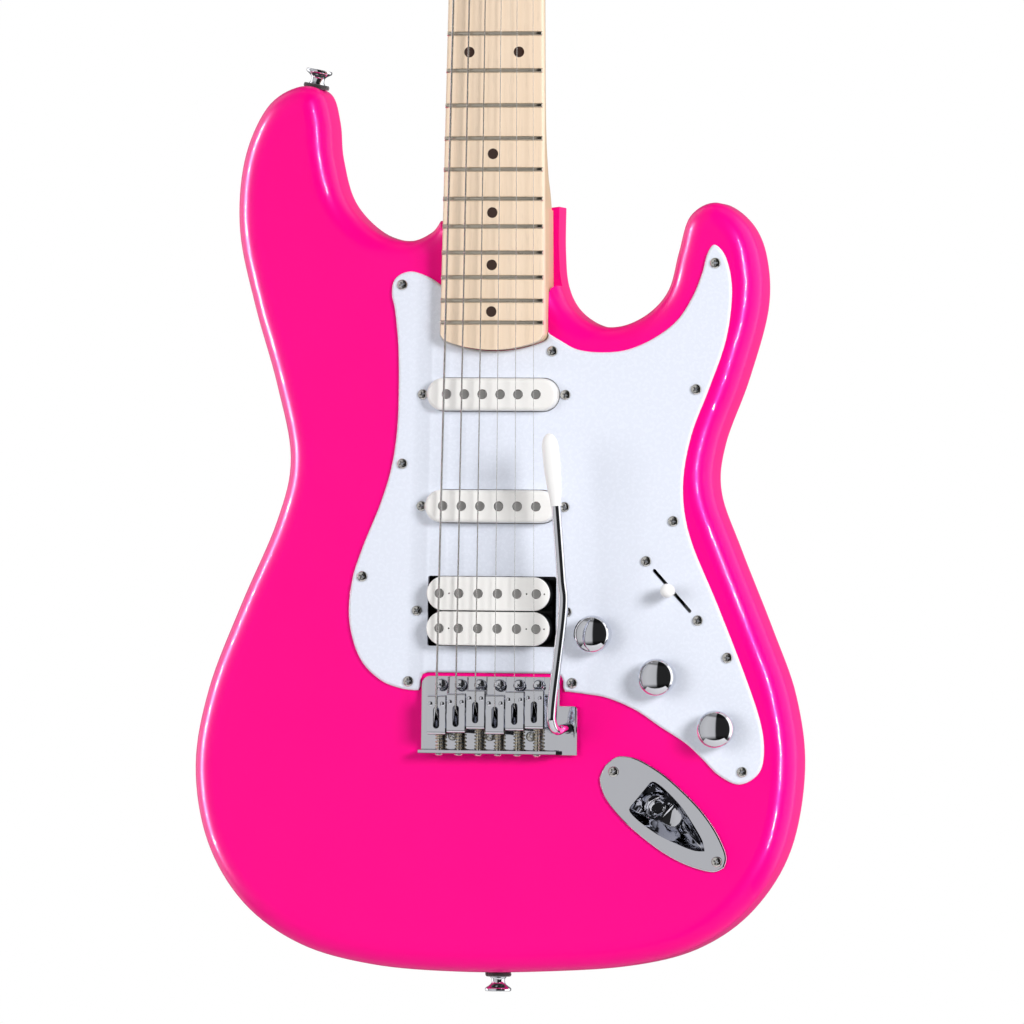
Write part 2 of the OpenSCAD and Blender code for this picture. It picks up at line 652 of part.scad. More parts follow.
// ---- Single coils ----
function pole_xs(pitch) = [for (k = [0 : 5]) (k - 2.5) * pitch];
module single_cover(y, up, pitch) {
    translate([0, y, 0]) difference() {
        translate([0, 0, -12]) linear_extrude(up + 12) stadium(cover_l, cover_w);
        translate([0, 0, -13]) linear_extrude(up + 11.4) stadium(cover_l - 2.8, cover_w - 2.8);
        for (x = pole_xs(pitch)) translate([x, 0, up - 3]) cylinder(d = pole_d + 2 * fit, h = 5);
    }
}
module neck_pickup_cover() {
    color(white) plan() single_cover(neck_pickup_y, neck_pickup_up, neck_pole_pitch);
}
module middle_pickup_cover() {
    color(white) plan() single_cover(middle_pickup_y, middle_pickup_up, middle_pole_pitch);
}
module single_bobbin(y, up, pitch) {
    translate([0, y, 0]) difference() {
        union() {
            translate([0, 0, -14.5]) linear_extrude(2.4) stadium(84, 18);
            translate([0, 0, -12.2]) linear_extrude(up + 10) stadium(cover_l - 5, cover_w - 4);
        }
        for (x = pole_xs(pitch)) translate([x, 0, -20]) cylinder(d = pole_d + 2 * fit, h = 50);
        for (s = [-1, 1]) translate([s * coil_screw_x, 0, -16]) cylinder(d = 3.1, h = 5);
    }
}
module single_coil_bobbins() {
    color(copper) plan() {
        single_bobbin(neck_pickup_y, neck_pickup_up, neck_pole_pitch);
        single_bobbin(middle_pickup_y, middle_pickup_up, middle_pole_pitch);
    }
}
module single_coil_poles() {
    color(steel) plan() {
        for (x = pole_xs(neck_pole_pitch)) translate([x, neck_pickup_y, -15])
            cylinder(d = pole_d, h = neck_pickup_up + 15.3);
        for (x = pole_xs(middle_pole_pitch)) translate([x, middle_pickup_y, -15])
            cylinder(d = pole_d, h = middle_pickup_up + 15.3);
    }
}

// ---- Humbucker ----
module humbucker_bobbins() {
    color(white) plan() for (y = bobbin_rows) translate([0, y, 0]) difference() {
        union() {
            translate([0, 0, humbucker_up - 2]) linear_extrude(2) stadium(bobbin_l, bobbin_w);
            translate([0, 0, -8]) linear_extrude(1.5) stadium(bobbin_l, bobbin_w);
            translate([0, 0, -7]) linear_extrude(humbucker_up + 6) stadium(core_l, core_w);
        }
        for (x = pole_xs(humbucker_pole_pitch)) translate([x, 0, -20]) cylinder(d = pole_d + 2 * fit, h = 50);
    }
}
module humbucker_coils() {
    color(black) plan() for (y = bobbin_rows) translate([0, y, -6.5 + fit]) difference() {
        linear_extrude(humbucker_up + 4.5 - 2 * fit) stadium(bobbin_l - 1.5, bobbin_w - 1.5);
        translate([0, 0, -1]) linear_extrude(50) stadium(core_l + 2 * fit, core_w + 2 * fit);
    }
}
module humbucker_baseplate() {
    color(black) plan() {
        difference() {
            union() {
                translate([0, humbucker_y, -13.2]) linear_extrude(1.2) rounded([68, 37], 2);
                translate([0, humbucker_y, -13.2]) linear_extrude(1.2) rounded([89, 12], 2);
            }
            for (s = [-1, 1]) translate([s * humbucker_screw_x, humbucker_y, -15]) cylinder(d = 3.1, h = 5);
            for (y = bobbin_rows) for (x = pole_xs(humbucker_pole_pitch))
                translate([x, y, -20]) cylinder(d = pole_d + 2 * fit, h = 50);
        }
        // Bar magnet between the two rows of poles
        box([-30, 30], [humbucker_y - 6, humbucker_y + 6], [-11.9, -8.1]);
    }
}
module humbucker_poles() {
    color(steel) plan() for (y = bobbin_rows) for (x = pole_xs(humbucker_pole_pitch))
        translate([x, y, -14]) cylinder(d = pole_d, h = humbucker_up + 14.3);
}

// ---- Pickup height screws and their springs ----
module height_screw_places() {
    for (y = [neck_pickup_y, middle_pickup_y]) for (s = [-1, 1])
        translate([s * coil_screw_x, y, 0]) children();
    for (s = [-1, 1]) translate([s * humbucker_screw_x, humbucker_y, 0]) children();
}
module pickup_screws() {
    color(steel) plan() height_screw_places() translate([0, 0, guard_t])
        screw(3, 19, small_head_d, small_head_h);
}
module pickup_springs() {
    color(steel) plan() height_screw_places() translate([0, 0, -11.9]) tube(5.2, 3.3, 11.8);
}

// ---- Tremolo bridge ----
module bridge_outline() {
    translate([0, (plate_front + plate_rear) / 2]) rounded([2 * plate_half, plate_front - plate_rear], 4.5);
    translate([plate_half - 10, plate_rear]) square([10, 20]);
    translate([-plate_half, plate_rear]) square([10, 10]);
    translate([(plate_half + plate_ear) / 2 - 5, (plate_ear_y + plate_rear) / 2])
        rounded([plate_ear - plate_half + 10, plate_ear_y - plate_rear], 1.5);
}
module bridge_plate() {
    color(chrome) plan() difference() {
        union() {
            translate([0, 0, plate_gap]) linear_extrude(plate_t) bridge_outline();
            box([-plate_half, plate_half], [plate_rear, plate_rear + 2], [plate_gap, plate_top + lip_up]);
        }
        for (i = [0 : 5]) {
            at([bridge_x(i), pivot_y], -5) cylinder(d = 5.4, h = 20);
            at([bridge_x(i), string_hole_y], -5) cylinder(d = 4, h = 20);
            translate([bridge_x(i), plate_rear - 5, intonation_z]) rotate([-90, 0, 0])
                cylinder(d = 3.1, h = 10);
        }
        for (x = block_screw_x) at([x, block_screw_y], -5) cylinder(d = 3.1, h = 20);
        at(arm_xy, -5) cylinder(d = arm_d + 0.6, h = 20);
    }
}
// A bent steel plate with a slot that the string rises through
module saddle(i) {
    front = saddle_y[i] + saddle_nose;
    rear = front - saddle_l;
    half = saddle_pitch / 2 - 0.1;
    top = saddle_top(i);
    translate([bridge_x(i), 0, 0]) difference() {
        union() {
            box([-half, half], [rear, front], [top - saddle_t, top]);
            box([-half, half], [rear, rear + saddle_t], [plate_top + 1, top]);
            translate([-half, front, top - saddle_t]) rotate([0, 90, 0]) cylinder(r = saddle_t, h = 2 * half);
        }
        translate([0, saddle_y[i] + saddle_slot_y, 0]) rotate([0, 0, 90]) linear_extrude(30)
            stadium(saddle_slot_l, 2.8);
        for (s = [-1, 1]) translate([s * height_screw_x, saddle_y[i] + height_screw_y, 0])
            cylinder(d = height_screw_d + 2 * fit, h = 30);
        translate([0, rear - 1, intonation_z]) rotate([-90, 0, 0])
            cylinder(d = small_bridge_d + 2 * fit, h = 5);
    }
}
module bridge_saddles() { color(chrome) plan() for (i = [0 : 5]) saddle(i); }
module saddle_height_screws() {
    color(steel) plan() for (i = [0 : 5]) for (s = [-1, 1])
        translate([bridge_x(i) + s * height_screw_x, saddle_y[i] + height_screw_y, plate_top + fit])
            cylinder(d = height_screw_d, h = saddle_top(i) - plate_top + 0.5);
}
// Intonation screws through the rear lip, and the countersunk screws that hold the block
module bridge_screws() {
    color(steel) plan() {
        for (i = [0 : 5]) translate([bridge_x(i), plate_rear, intonation_z]) rotate([90, 0, 0])
            screw(small_bridge_d, saddle_y[i] + saddle_nose - saddle_l - plate_rear + 3, 4.6, 1.2);
        for (x = block_screw_x) at([x, block_screw_y], plate_top) screw(3, 13, 5.4, 0.8);
    }
}
module intonation_springs() {
    color(steel) plan() for (i = [0 : 5])
        translate([bridge_x(i), plate_rear + 2 + fit, intonation_z]) rotate([-90, 0, 0])
            tube(5, 3, saddle_y[i] + saddle_nose - saddle_l - plate_rear - 2 - 2 * fit);
}
module bridge_pivot_screws() {
    color(chrome) plan() for (i = [0 : 5]) at([bridge_x(i), pivot_y], plate_top + 0.9)
        screw(pivot_screw_d, 24, 6.4, 1.9);
}
module sustain_block() {
    color(steel) plan() difference() {
        union() {
            box([-block_x, block_x], block_y, [plate_gap - fit - block_depth, plate_gap - fit]);
            at(arm_xy, plate_gap - fit - boss_depth) cylinder(r = boss_r, h = boss_depth);
            box([block_x - 2, arm_xy[0]], [arm_xy[1] - boss_r + 1, arm_xy[1] + boss_r],
                [plate_gap - fit - boss_depth, plate_gap - fit]);
        }
        for (i = [0 : 5]) at([bridge_x(i), string_hole_y], -50) cylinder(d = 3.4, h = 60);
        for (x = block_screw_x) at([x, block_screw_y], -12) cylinder(d = 3.1, h = 20);
        at(arm_xy, plate_gap - boss_depth + 2) cylinder(d = arm_d + 0.12, h = 20);
        for (x = spring_xs) translate([x, block_y[0] - 1, spring_z]) rotate([-90, 0, 0])
            cylinder(d = 2.2, h = 20);
    }
}

// ---- Tremolo arm ----
module tremolo_arm() {
    color(chrome) plan() {
        for (k = [0 : len(arm_route) - 2]) rod(arm_route[k], arm_route[k + 1], arm_d);
        for (k = [1 : len(arm_route) - 2]) translate(arm_route[k]) sphere(d = arm_d + 0.12);
        rod(arm_route[7], arm_route[7] + (arm_tip_end - arm_route[7]) * 0.6, 3);
    }
}
module arm_tip() {
    along = arm_tip_end - arm_route[7];
    color(white) plan() translate(arm_route[7])
        rotate([0, acos(along[2] / norm(along)), atan2(along[1], along[0])]) difference() {
            rotate_extrude() polygon(concat([[0, 0], [2.8, 0]],
                [for (k = [0 : 6]) [2.8 + 1.6 * sin(15 * k), 5 + 3 * k]],
                [for (a = [0 : 15 : 90]) [4.4 * cos(a), norm(along) - 8 + 8 * sin(a)]]));
            translate([0, 0, -1]) cylinder(d = 3 + 2 * fit, h = norm(along) * 0.6 + 1.5);
        }
}

// ---- Tremolo springs and claw ----
module tremolo_springs() {
    color(steel) plan() for (x = spring_xs) translate([x, block_y[1] + 0.5, spring_z]) rotate([-90, 0, 0]) {
        translate([0, 0, 5]) cylinder(d = spring_d, h = claw_y - block_y[1] - 13);
        cylinder(d = 1.6, h = claw_y - block_y[1] - 2.5);
    }
}
module spring_claw() {
    color(steel) plan() difference() {
        union() {
            box([-29, 29], [claw_y - 2, claw_y - 0.4], [spring_z - 5.5, spring_z + 5.5]);
            for (x = spring_xs)
                box([x - 2.5, x + 2.5], [claw_y - 4.5, claw_y - 2], [spring_z + 1, spring_z + 2.6]);
        }
        for (x = claw_screw_x) translate([x, claw_y - 5, spring_z]) rotate([-90, 0, 0])
            cylinder(d = long_screw_d + 2 * fit, h = 8);
    }
}
module back_cover() {
    color(white) plan() difference() {
        translate([0, (cavity_y[0] + cavity_y[1]) / 2, back_z - cover_t]) linear_extrude(cover_t - 0.02)
            rounded([94, cavity_y[1] - cavity_y[0] + 10], 6);
        for (p = cover_screws) at(p, back_z - 5) cylinder(d = small_screw_d + 2 * fit, h = 8);
        for (i = [0 : 5]) at([bridge_x(i), string_hole_y], back_z - 5) cylinder(d = 8, h = 8);
    }
}

// ---- Controls ----
module knob(xy) {
    r = knob_d / 2;
    color(chrome) plan() at(xy) {
        difference() {
            rotate_extrude() polygon(concat([[0, 3.2], [r * 0.88, 3.2], [r * 0.93, 5], [r, 11.5]],
                [for (a = [15 : 15 : 90]) [r * cos(a), 11.5 + 5.5 * sin(a)]]));
            translate([0, 0, 2]) cylinder(r = 7, h = 3.2);
            translate([0, 0, 2]) cylinder(d = 6 + 2 * fit, h = 11);
        }
        // Shaft of the potentiometer
        translate([0, 0, -6]) cylinder(d = 6, h = 18.5);
    }
}
module volume_knob() { knob(volume_xy); }
module tone_knob_upper() { knob(tone_upper_xy); }
module tone_knob_lower() { knob(tone_lower_xy); }
module potentiometers() {
    color(steel) plan() for (p = [volume_xy, tone_upper_xy, tone_lower_xy]) at(p) difference() {
        union() {
            translate([0, 0, -12]) cylinder(r = 12, h = 9);
            translate([0, 0, -3]) cylinder(r = 5, h = 3 - fit);
            translate([0, 0, -1]) cylinder(d = 7, h = 5.6);
            translate([0, 0, guard_t + fit]) cylinder(r = 6, h = 2, $fn = 6);
        }
        translate([0, 0, -6.5]) cylinder(d = 6.1, h = 20);
    }
}
module selector_switch() {
    color(steel) plan() on_switch() difference() {
        union() {
            box([-25, 25], [-5, 5], [-1.6, -fit]);
            for (s = [-1, 1]) translate([0, s * 4.2, -13.5]) cube([38, 1.6, 24], center = true);
            box([-19, 19], [-5, 5], [-25.5, -24]);
        }
        translate([0, 0, -5]) linear_extrude(8) stadium(30, 4);
        for (s = [-1, 1]) translate([s * switch_screw_pitch / 2, 0, -5]) cylinder(d = 3, h = 8);
        translate([0, 0, switch_pivot_z]) rotate([90, 0, 0]) cylinder(d = 2.6, h = 20, center = true);
    }
}
module switch_lever() {
    color(steel) plan() on_switch() {
        translate([0, 0, switch_pivot_z]) rotate([90, 0, 0]) cylinder(d = 2.5, h = 9.6, center = true);
        difference() {
            union() {
                box([-2.5, 2.5], [-0.7, 0.7], [switch_pivot_z, 14]);
                translate([0, 0, switch_pivot_z]) rotate([90, 0, 0]) cylinder(r = 5, h = 4, center = true);
            }
            translate([0, 0, switch_pivot_z]) rotate([90, 0, 0]) cylinder(d = 2.4, h = 20, center = true);
        }
    }
}
module switch_tip() {
    color(white) plan() on_switch() difference() {
        translate([0, 0, 8]) rotate_extrude() polygon(concat([[0, 0], [3.9, 0]],
            [for (a = [0 : 15 : 90]) [4.6 * cos(a), 5 + 4.2 * sin(a)]]));
        box([-2.6, 2.6], [-0.8, 0.8], [7, 14.2]);
    }
}

// ---- Output jack ----
function mirrored(p) = concat(p, [for (i = [len(p) - 2 : -1 : 1]) [p[i][0], -p[i][1]]]);
module cup_mouth(inset) {
    offset(delta = -inset) polygon(concat([[cup_half[0][0], -cup_half[0][1]]], mirrored(cup_half)));
}
module cup_solid(inset, top) {
    hull() {
        translate([0, 0, top - 0.1]) linear_extrude(0.1) cup_mouth(inset);
        translate([jack_wall_low[0] + inset, 0, jack_wall_low[1] + inset]) linear_extrude(0.1)
            polygon([[0, inset - 8], [5, inset - 7.5], [9, -4], [9, 4], [5, 7.5 - inset], [0, 8 - inset]]);
    }
}
module jack_plate() {
    color(chrome) plan() difference() {
        on_jack_plate() union() {
            linear_extrude(jack_plate_t) polygon(mirrored(jack_half));
            cup_solid(0, jack_plate_t - 0.4);
        }
        on_jack_plate() cup_solid(cup_wall, jack_plate_t + 1);
        on_jack_plate() for (s = [-1, 1]) translate([s * jack_screw_pitch / 2, 0, -5])
            cylinder(d = small_screw_d + 2 * fit, h = 10);
        on_jack() cylinder(d = jack_hole_d, h = 8, center = true);
    }
}
module output_jack() {
    color(chrome) plan() on_jack() difference() {
        union() {
            translate([0, 0, -2.2]) cylinder(d = 9.4, h = 2.2 + jack_neck_z);
            // Washer and nut on the inside of the cup's wall
            translate([0, 0, jack_seat_z]) cylinder(d = 12.6, h = 0.6);
            translate([0, 0, jack_seat_z + 0.6]) cylinder(d = 11, h = 1.6, $fn = 6);
            translate([0, 0, -20]) cylinder(d = 15, h = 18);
        }
        translate([0, 0, jack_end_z]) cylinder(d = jack_bore, h = 30);
    }
}

// ---- Strap buttons ----
module strap_button() {
    difference() {
        rotate_extrude() polygon([[0, 0], [4.4, 0], [3.5, 0.9], [3.5, 3.4], [4.4, 4.4], [button_r, 6.1],
            [button_r, button_l], [0, button_l]]);
        translate([0, 0, -1]) cylinder(d = long_screw_d + 2 * fit, h = 20);
        translate([0, 0, button_seat]) cylinder(d = 7, h = 20);
    }
}
module strap_washer() { tube(13.6, long_screw_d + 2 * fit, washer_t - fit); }
module strap_buttons() {
    color(chrome) plan() {
        on_tail() translate([0, 0, washer_t]) strap_button();
        on_horn() translate([0, 0, washer_t]) strap_button();
    }
}
module strap_washers() {
    color(black) plan() {
        on_tail() strap_washer();
        on_horn() strap_washer();
    }
}

body();
neck();
truss_rod();
fretboard();
fret_wires();
position_dots();
nut();
strings();
string_trees();
tuner_housings();
tuner_bushings();
tuner_post(0);  // tuner_post_1
tuner_post(1);  // tuner_post_2
tuner_post(2);  // tuner_post_3
tuner_post(3);  // tuner_post_4
tuner_post(4);  // tuner_post_5
tuner_post(5);  // tuner_post_6
tuner_button(0);  // tuner_button_1
tuner_button(1);  // tuner_button_2
tuner_button(2);  // tuner_button_3
tuner_button(3);  // tuner_button_4
tuner_button(4);  // tuner_button_5
tuner_button(5);  // tuner_button_6
neck_plate();
wood_screws();
pickguard();
plate_screws();
neck_pickup_cover();
middle_pickup_cover();
single_coil_bobbins();
single_coil_poles();
humbucker_bobbins();
humbucker_coils();
humbucker_baseplate();
humbucker_poles();
pickup_screws();
pickup_springs();
bridge_plate();
bridge_saddles();
saddle_height_screws();
bridge_screws();
intonation_springs();
bridge_pivot_screws();
sustain_block();
tremolo_arm();
arm_tip();
tremolo_springs();
spring_claw();
back_cover();
volume_knob();
tone_knob_upper();
tone_knob_lower();
potentiometers();
selector_switch();
switch_lever();
switch_tip();
jack_plate();
output_jack();
strap_buttons();
strap_washers();
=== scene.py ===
# Looks of the electric guitar, built on the frame that the CAD model gives.
# Shapes are in millimetres in the plan frame: x to the treble side, y up the neck from the bridge
# line, z out of the front face of the body. PLAN turns that frame into the row frame, in metres.
import math

import bmesh
import bpy
from mathutils import Matrix, Vector, geometry


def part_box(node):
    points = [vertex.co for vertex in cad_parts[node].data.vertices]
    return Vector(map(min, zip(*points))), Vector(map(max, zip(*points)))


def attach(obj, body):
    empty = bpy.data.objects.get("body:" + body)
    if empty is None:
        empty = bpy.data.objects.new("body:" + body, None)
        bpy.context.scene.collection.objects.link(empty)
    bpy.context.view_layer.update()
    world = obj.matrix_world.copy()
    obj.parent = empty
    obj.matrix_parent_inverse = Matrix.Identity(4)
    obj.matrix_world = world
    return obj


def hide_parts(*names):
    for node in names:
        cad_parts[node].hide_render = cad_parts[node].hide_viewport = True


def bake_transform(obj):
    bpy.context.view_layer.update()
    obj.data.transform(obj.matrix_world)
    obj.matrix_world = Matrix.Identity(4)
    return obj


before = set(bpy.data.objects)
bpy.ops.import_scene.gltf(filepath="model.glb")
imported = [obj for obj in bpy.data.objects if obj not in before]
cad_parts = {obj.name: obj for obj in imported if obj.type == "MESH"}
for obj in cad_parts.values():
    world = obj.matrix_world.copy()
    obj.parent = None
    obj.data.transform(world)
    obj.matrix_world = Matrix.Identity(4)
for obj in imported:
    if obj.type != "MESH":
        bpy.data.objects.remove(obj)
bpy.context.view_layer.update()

# ---- Driving sizes, as in the CAD model ----
MM = 0.001
BRIDGE_UP = 156.0
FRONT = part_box("body")[0][1] / MM
BACK_Z = -(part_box("body")[1][1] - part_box("body")[0][1]) / MM
SCALE = 647.7
NUT_Y = SCALE
NUT_W, HEEL_W = 42.0, 56.0
HEEL_Y, POCKET_Y, HEEL_ARC_R, HEEL_CORNER_R = 178.5, 254.0, 70.0, 4.0
WALL_END_Y = 214.5
BOARD_UP, WOOD_TOP, HEEL_Z = 10.4, 4.4, -13.6
HEAD_TOP, HEAD_T = 1.4, 14.0
CROWN_R, FRET_UP, FRET_W, FRETS = 305.0, 1.0, 2.4, 21
EDGE_R = 12.0
GUARD_T = 2.3
STRING_D = [1.17, 0.91, 0.66, 0.43, 0.33, 0.25]
BRIDGE_SPREAD, NUT_SPREAD = 52.5, 35.0
SADDLE_UP, NUT_UP = 14.8, 12.1
SADDLE_Y = [-4.5, -3.5, -1.5, -4.0, -2.0, -1.0]
PLATE_GAP, PLATE_T = 1.1, 2.0
PLATE_TOP = PLATE_GAP + PLATE_T
PLATE_HALF, PLATE_FRONT, PLATE_REAR = 37.0, 8.5, -32.0
PLATE_EAR, PLATE_EAR_Y = 46.5, -6.5
PIVOT_Y = 4.0
LIP_UP = 7.0
INTONATION_Z = PLATE_TOP + 3.9
SADDLE_L, SADDLE_T = 19.0, 1.6
ARM_XY = (41.5, -18.0)
ARM_D = 5.0
NECK_PICKUP_Y, MIDDLE_PICKUP_Y, HUMBUCKER_Y = 155.3, 97.0, 42.4
COVER_L, COVER_W = 70.0, 17.0
BOBBIN_L, BOBBIN_W, BOBBIN_PITCH = 66.0, 17.6, 18.2
HUMBUCKER_UP = 11.2
KNOBS = {"volume_knob": (56.0, 31.0), "tone_knob_upper": (90.5, 9.0), "tone_knob_lower": (122.0, -17.5)}
KNOB_R = 9.8
SWITCH_XY, SWITCH_ANGLE = (96.2, 53.9), math.radians(-47.6)
JACK_XY, JACK_ANGLE = (93.6, -63.2), math.radians(-39.6)
JACK_WALL_TOP, JACK_WALL_LOW = (-17.5, 0.0), (-3.5, -15.0)
SPRING_Z, CLAW_Y = -32.0, 100.0
SPRING_X = [-22.0, 0.0, 22.0]
HORN_XY, HORN_LEAN = (-104.0, 316.6), math.radians(10.6)
BUTTON_L, WASHER_T = 7.6, 2.4
TAIL_Y = BUTTON_L + WASHER_T - BRIDGE_UP
POST_FIRST, POST_STEP = (-18.6, 32.0), (7.3, 25.0)

BODY_ROUTE = [
    (30, 254), (30, 232), (32, 213), (39, 200), (52, 192), (66, 192), (80, 199), (90, 211), (95, 230),
    (101, 249), (115, 256), (130, 246), (138, 228), (139, 201), (129, 164), (117, 131), (115, 106),
    (126, 76), (143, 35), (156, 0), (161, -38), (154, -80), (135, -111), (108, -131), (74, -141),
    (28, -145), (-20, -146), (-66, -143), (-105, -133), (-136, -112), (-156, -80), (-163, -40),
    (-156, 1), (-139, 45), (-120, 89), (-113, 122), (-121, 161), (-133, 201), (-142, 241), (-140, 278),
    (-128, 306), (-111, 317), (-98, 314), (-93, 299), (-91, 280), (-84, 257), (-68, 241), (-50, 236),
    (-38, 240.3), (-33, 246.5)]
GUARD_UPPER = [
    (29, 187), (35, 183.5), (44, 179), (57, 177.5), (71, 179), (85, 185), (97, 194), (105, 206),
    (110, 218), (113, 229), (117, 233.5), (123, 226), (126, 209), (123, 184), (114, 158), (105, 134),
    (101, 108), (105, 82), (120, 47), (134, 13), (143, -12), (145.5, -28), (143, -40), (133, -46),
    (122, -41.5), (113, -33), (104, -25), (91, -17), (77, -8), (62, -2), (50, 0), (41.5, 1)]
GUARD_NOTCH = [(39.5, 1), (38.5, 3), (38.5, 6.5), (37.3, 9.3), (34.5, 10.3),
               (-34.5, 10.3), (-37.3, 9.3), (-38.5, 6.5), (-38.5, 3), (-39.5, 0.9)]
GUARD_LOWER = [
    (-41.5, 0.8), (-49, 1.8), (-60, 6), (-71, 17), (-77, 36), (-76, 57), (-70, 76), (-61, 98),
    (-55, 118), (-52, 142), (-52, 176), (-54, 198), (-56, 208), (-54, 216), (-46, 219.5),
    (-36, 216.5), (-29, 212)]
HEAD_ROUTE = [(21, 4), (24, 22), (30, 62), (38, 112), (46, 152), (45, 172), (33, 183), (17, 182), (6, 170)]
HEAD_BASS = [(-30.5, 22), (-21, 4)]
JACK_HALF = [(-41.5, 0), (-40.6, 5), (-38, 9), (-30, 13.5), (-17, 16), (-4, 16.3), (10, 15.3),
             (22, 12.8), (32, 9), (38.5, 5), (41, 0)]
CUP_HALF = [(-17.5, 8.6), (-16.7, 10.5), (-14.2, 11.6), (-8, 12), (4, 10.9), (15, 8), (25, 4.4), (30.5, 0)]
GUARD_SCREWS = [(-50, 212.5), (31, 178), (117.5, 224), (108, 158.5), (96.5, 90), (-49, 119), (-70, 60),
                (-44.5, 5.5), (43.5, 5.5), (126, 19.5), (134.5, -39.5)]
ARM_ROUTE = [(41.5, -18, -10), (41.5, -18, 12), (40, -19, 20), (38.5, -15, 24.5), (39, -5, 27),
             (45.2, 43, 31), (44.5, 60, 32.5), (41.8, 97, 34.5)]
ARM_TIP_END = (38, 134.5, 36.5)

PLAN = (Matrix.Translation((0, FRONT * MM, BRIDGE_UP * MM)) @ Matrix.Rotation(math.pi / 2, 4, "X")
        @ Matrix.Scale(MM, 4))


# ---- Frames inside the plan frame ----
def shift(x=0.0, y=0.0, z=0.0):
    return Matrix.Translation((x, y, z))


def spin(axis, degrees):
    return Matrix.Rotation(math.radians(degrees), 4, axis)


ON_SWITCH = shift(*SWITCH_XY) @ Matrix.Rotation(SWITCH_ANGLE, 4, "Z")
ON_JACK_PLATE = shift(*JACK_XY) @ Matrix.Rotation(JACK_ANGLE, 4, "Z")
JACK_MID = ((JACK_WALL_TOP[0] + JACK_WALL_LOW[0]) / 2, (JACK_WALL_TOP[1] + JACK_WALL_LOW[1]) / 2)
JACK_TILT = math.atan2(JACK_WALL_TOP[1] - JACK_WALL_LOW[1], JACK_WALL_LOW[0] - JACK_WALL_TOP[0])
ON_JACK = ON_JACK_PLATE @ shift(JACK_MID[0], 0, JACK_MID[1]) @ Matrix.Rotation(JACK_TILT, 4, "Y")
ON_TAIL = shift(0, TAIL_Y, BACK_Z / 2) @ spin("X", 90)
ON_HORN = shift(HORN_XY[0], HORN_XY[1], BACK_Z / 2) @ Matrix.Rotation(-HORN_LEAN, 4, "Z") @ spin("X", -90)
BACKWARDS = spin("X", 180)


def post_frame(i):
    return shift(POST_FIRST[0] + i * POST_STEP[0], NUT_Y + POST_FIRST[1] + i * POST_STEP[1])


def bridge_x(i):
    return -BRIDGE_SPREAD / 2 + i * BRIDGE_SPREAD / 5


def nut_x(i):
    return -NUT_SPREAD / 2 + i * NUT_SPREAD / 5


def saddle_top(i):
    return SADDLE_UP - STRING_D[i] / 2 - 0.05


def neck_w(y):
    return NUT_W + (HEEL_W - NUT_W) * (NUT_Y - y) / (NUT_Y - HEEL_Y)


def fret_y(n):
    return SCALE * 2 ** (-n / 12)


def crown_z(x, raised=0.0):
    """Height of the crowned fretboard at x."""
    return BOARD_UP - CROWN_R + math.sqrt((CROWN_R + raised) ** 2 - x * x)


# ---- Outlines: lists of 2-D vectors ----
def curve(points, steps):
    """Catmull-Rom curve through the points, which may have two or three coordinates."""
    pts = [Vector(p) for p in points]
    last = len(pts) - 1
    out = []
    for i in range(last):
        p0, p1, p2, p3 = pts[max(i - 1, 0)], pts[i], pts[i + 1], pts[min(i + 2, last)]
        for k in range(steps):
            t = k / steps
            out.append(0.5 * (2 * p1 + (p2 - p0) * t + (2 * p0 - 5 * p1 + 4 * p2 - p3) * t ** 2
                              + (3 * p1 - p0 - 3 * p2 + p3) * t ** 3))
    out.append(pts[last])
    return out


def circle(r, count=48, centre=(0.0, 0.0)):
    turn = 2 * math.pi / count
    return [Vector((centre[0] + r * math.cos(turn * k), centre[1] + r * math.sin(turn * k)))
            for k in range(count)]


def stadium(length, width, count=24, centre=(0.0, 0.0)):
    """Slot outline with round ends, long along x."""
    r = width / 2
    out = []
    for side, start in ((1, -90), (-1, 90)):
        for k in range(count + 1):
            a = math.radians(start + 180 * k / count)
            out.append(Vector((centre[0] + side * (length / 2 - r) + r * math.cos(a),
                               centre[1] + r * math.sin(a))))
    return out


def rounded(w, h, r, count=8, centre=(0.0, 0.0)):
    """Rectangle with round corners."""
    out = []
    for quarter, (sx, sy) in enumerate(((1, 1), (-1, 1), (-1, -1), (1, -1))):
        for k in range(count + 1):
            a = math.radians(90 * quarter + 90 * k / count)
            out.append(Vector((centre[0] + sx * (w / 2 - r) + r * math.cos(a),
                               centre[1] + sy * (h / 2 - r) + r * math.sin(a))))
    return out


def mirrored(half):
    """Closed outline from a half outline above the x axis."""
    return half + [Vector((p.x, -p.y)) for p in reversed(half[1:-1])]


def turned(points, anticlockwise=True):
    area = sum(a.x * b.y - b.x * a.y for a, b in zip(points, points[1:] + points[:1]))
    return points if (area > 0) == anticlockwise else points[::-1]


def inset(points, distance):
    """Closed outline moved to its left by distance, with mitred corners."""
    out = []
    for i, p in enumerate(points):
        before = (p - points[i - 1]).normalized()
        after = (points[(i + 1) % len(points)] - p).normalized()
        n1, n2 = Vector((-before.y, before.x)), Vector((-after.y, after.x))
        mean = (n1 + n2).normalized()
        out.append(p + mean * distance / max(mean.dot(n1), 0.5))
    return out


def uncrossed(loop, window=24):
    """The closed loop with its small self-crossings gathered into points."""
    n = len(loop)
    out = list(loop)
    for i in range(n):
        a, b = loop[i], loop[(i + 1) % n]
        for j in range(i + window, i + 1, -1):
            c, d = loop[j % n], loop[(j + 1) % n]
            slope = (b - a).cross(d - c)
            if abs(slope) < 1e-9:
                continue
            t, u = (c - a).cross(d - c) / slope, (c - a).cross(b - a) / slope
            if 0 <= t <= 1 and 0 <= u <= 1:
                for k in range(i + 1, j + 1):
                    out[k % n] = a.lerp(b, t)
                break
    return out


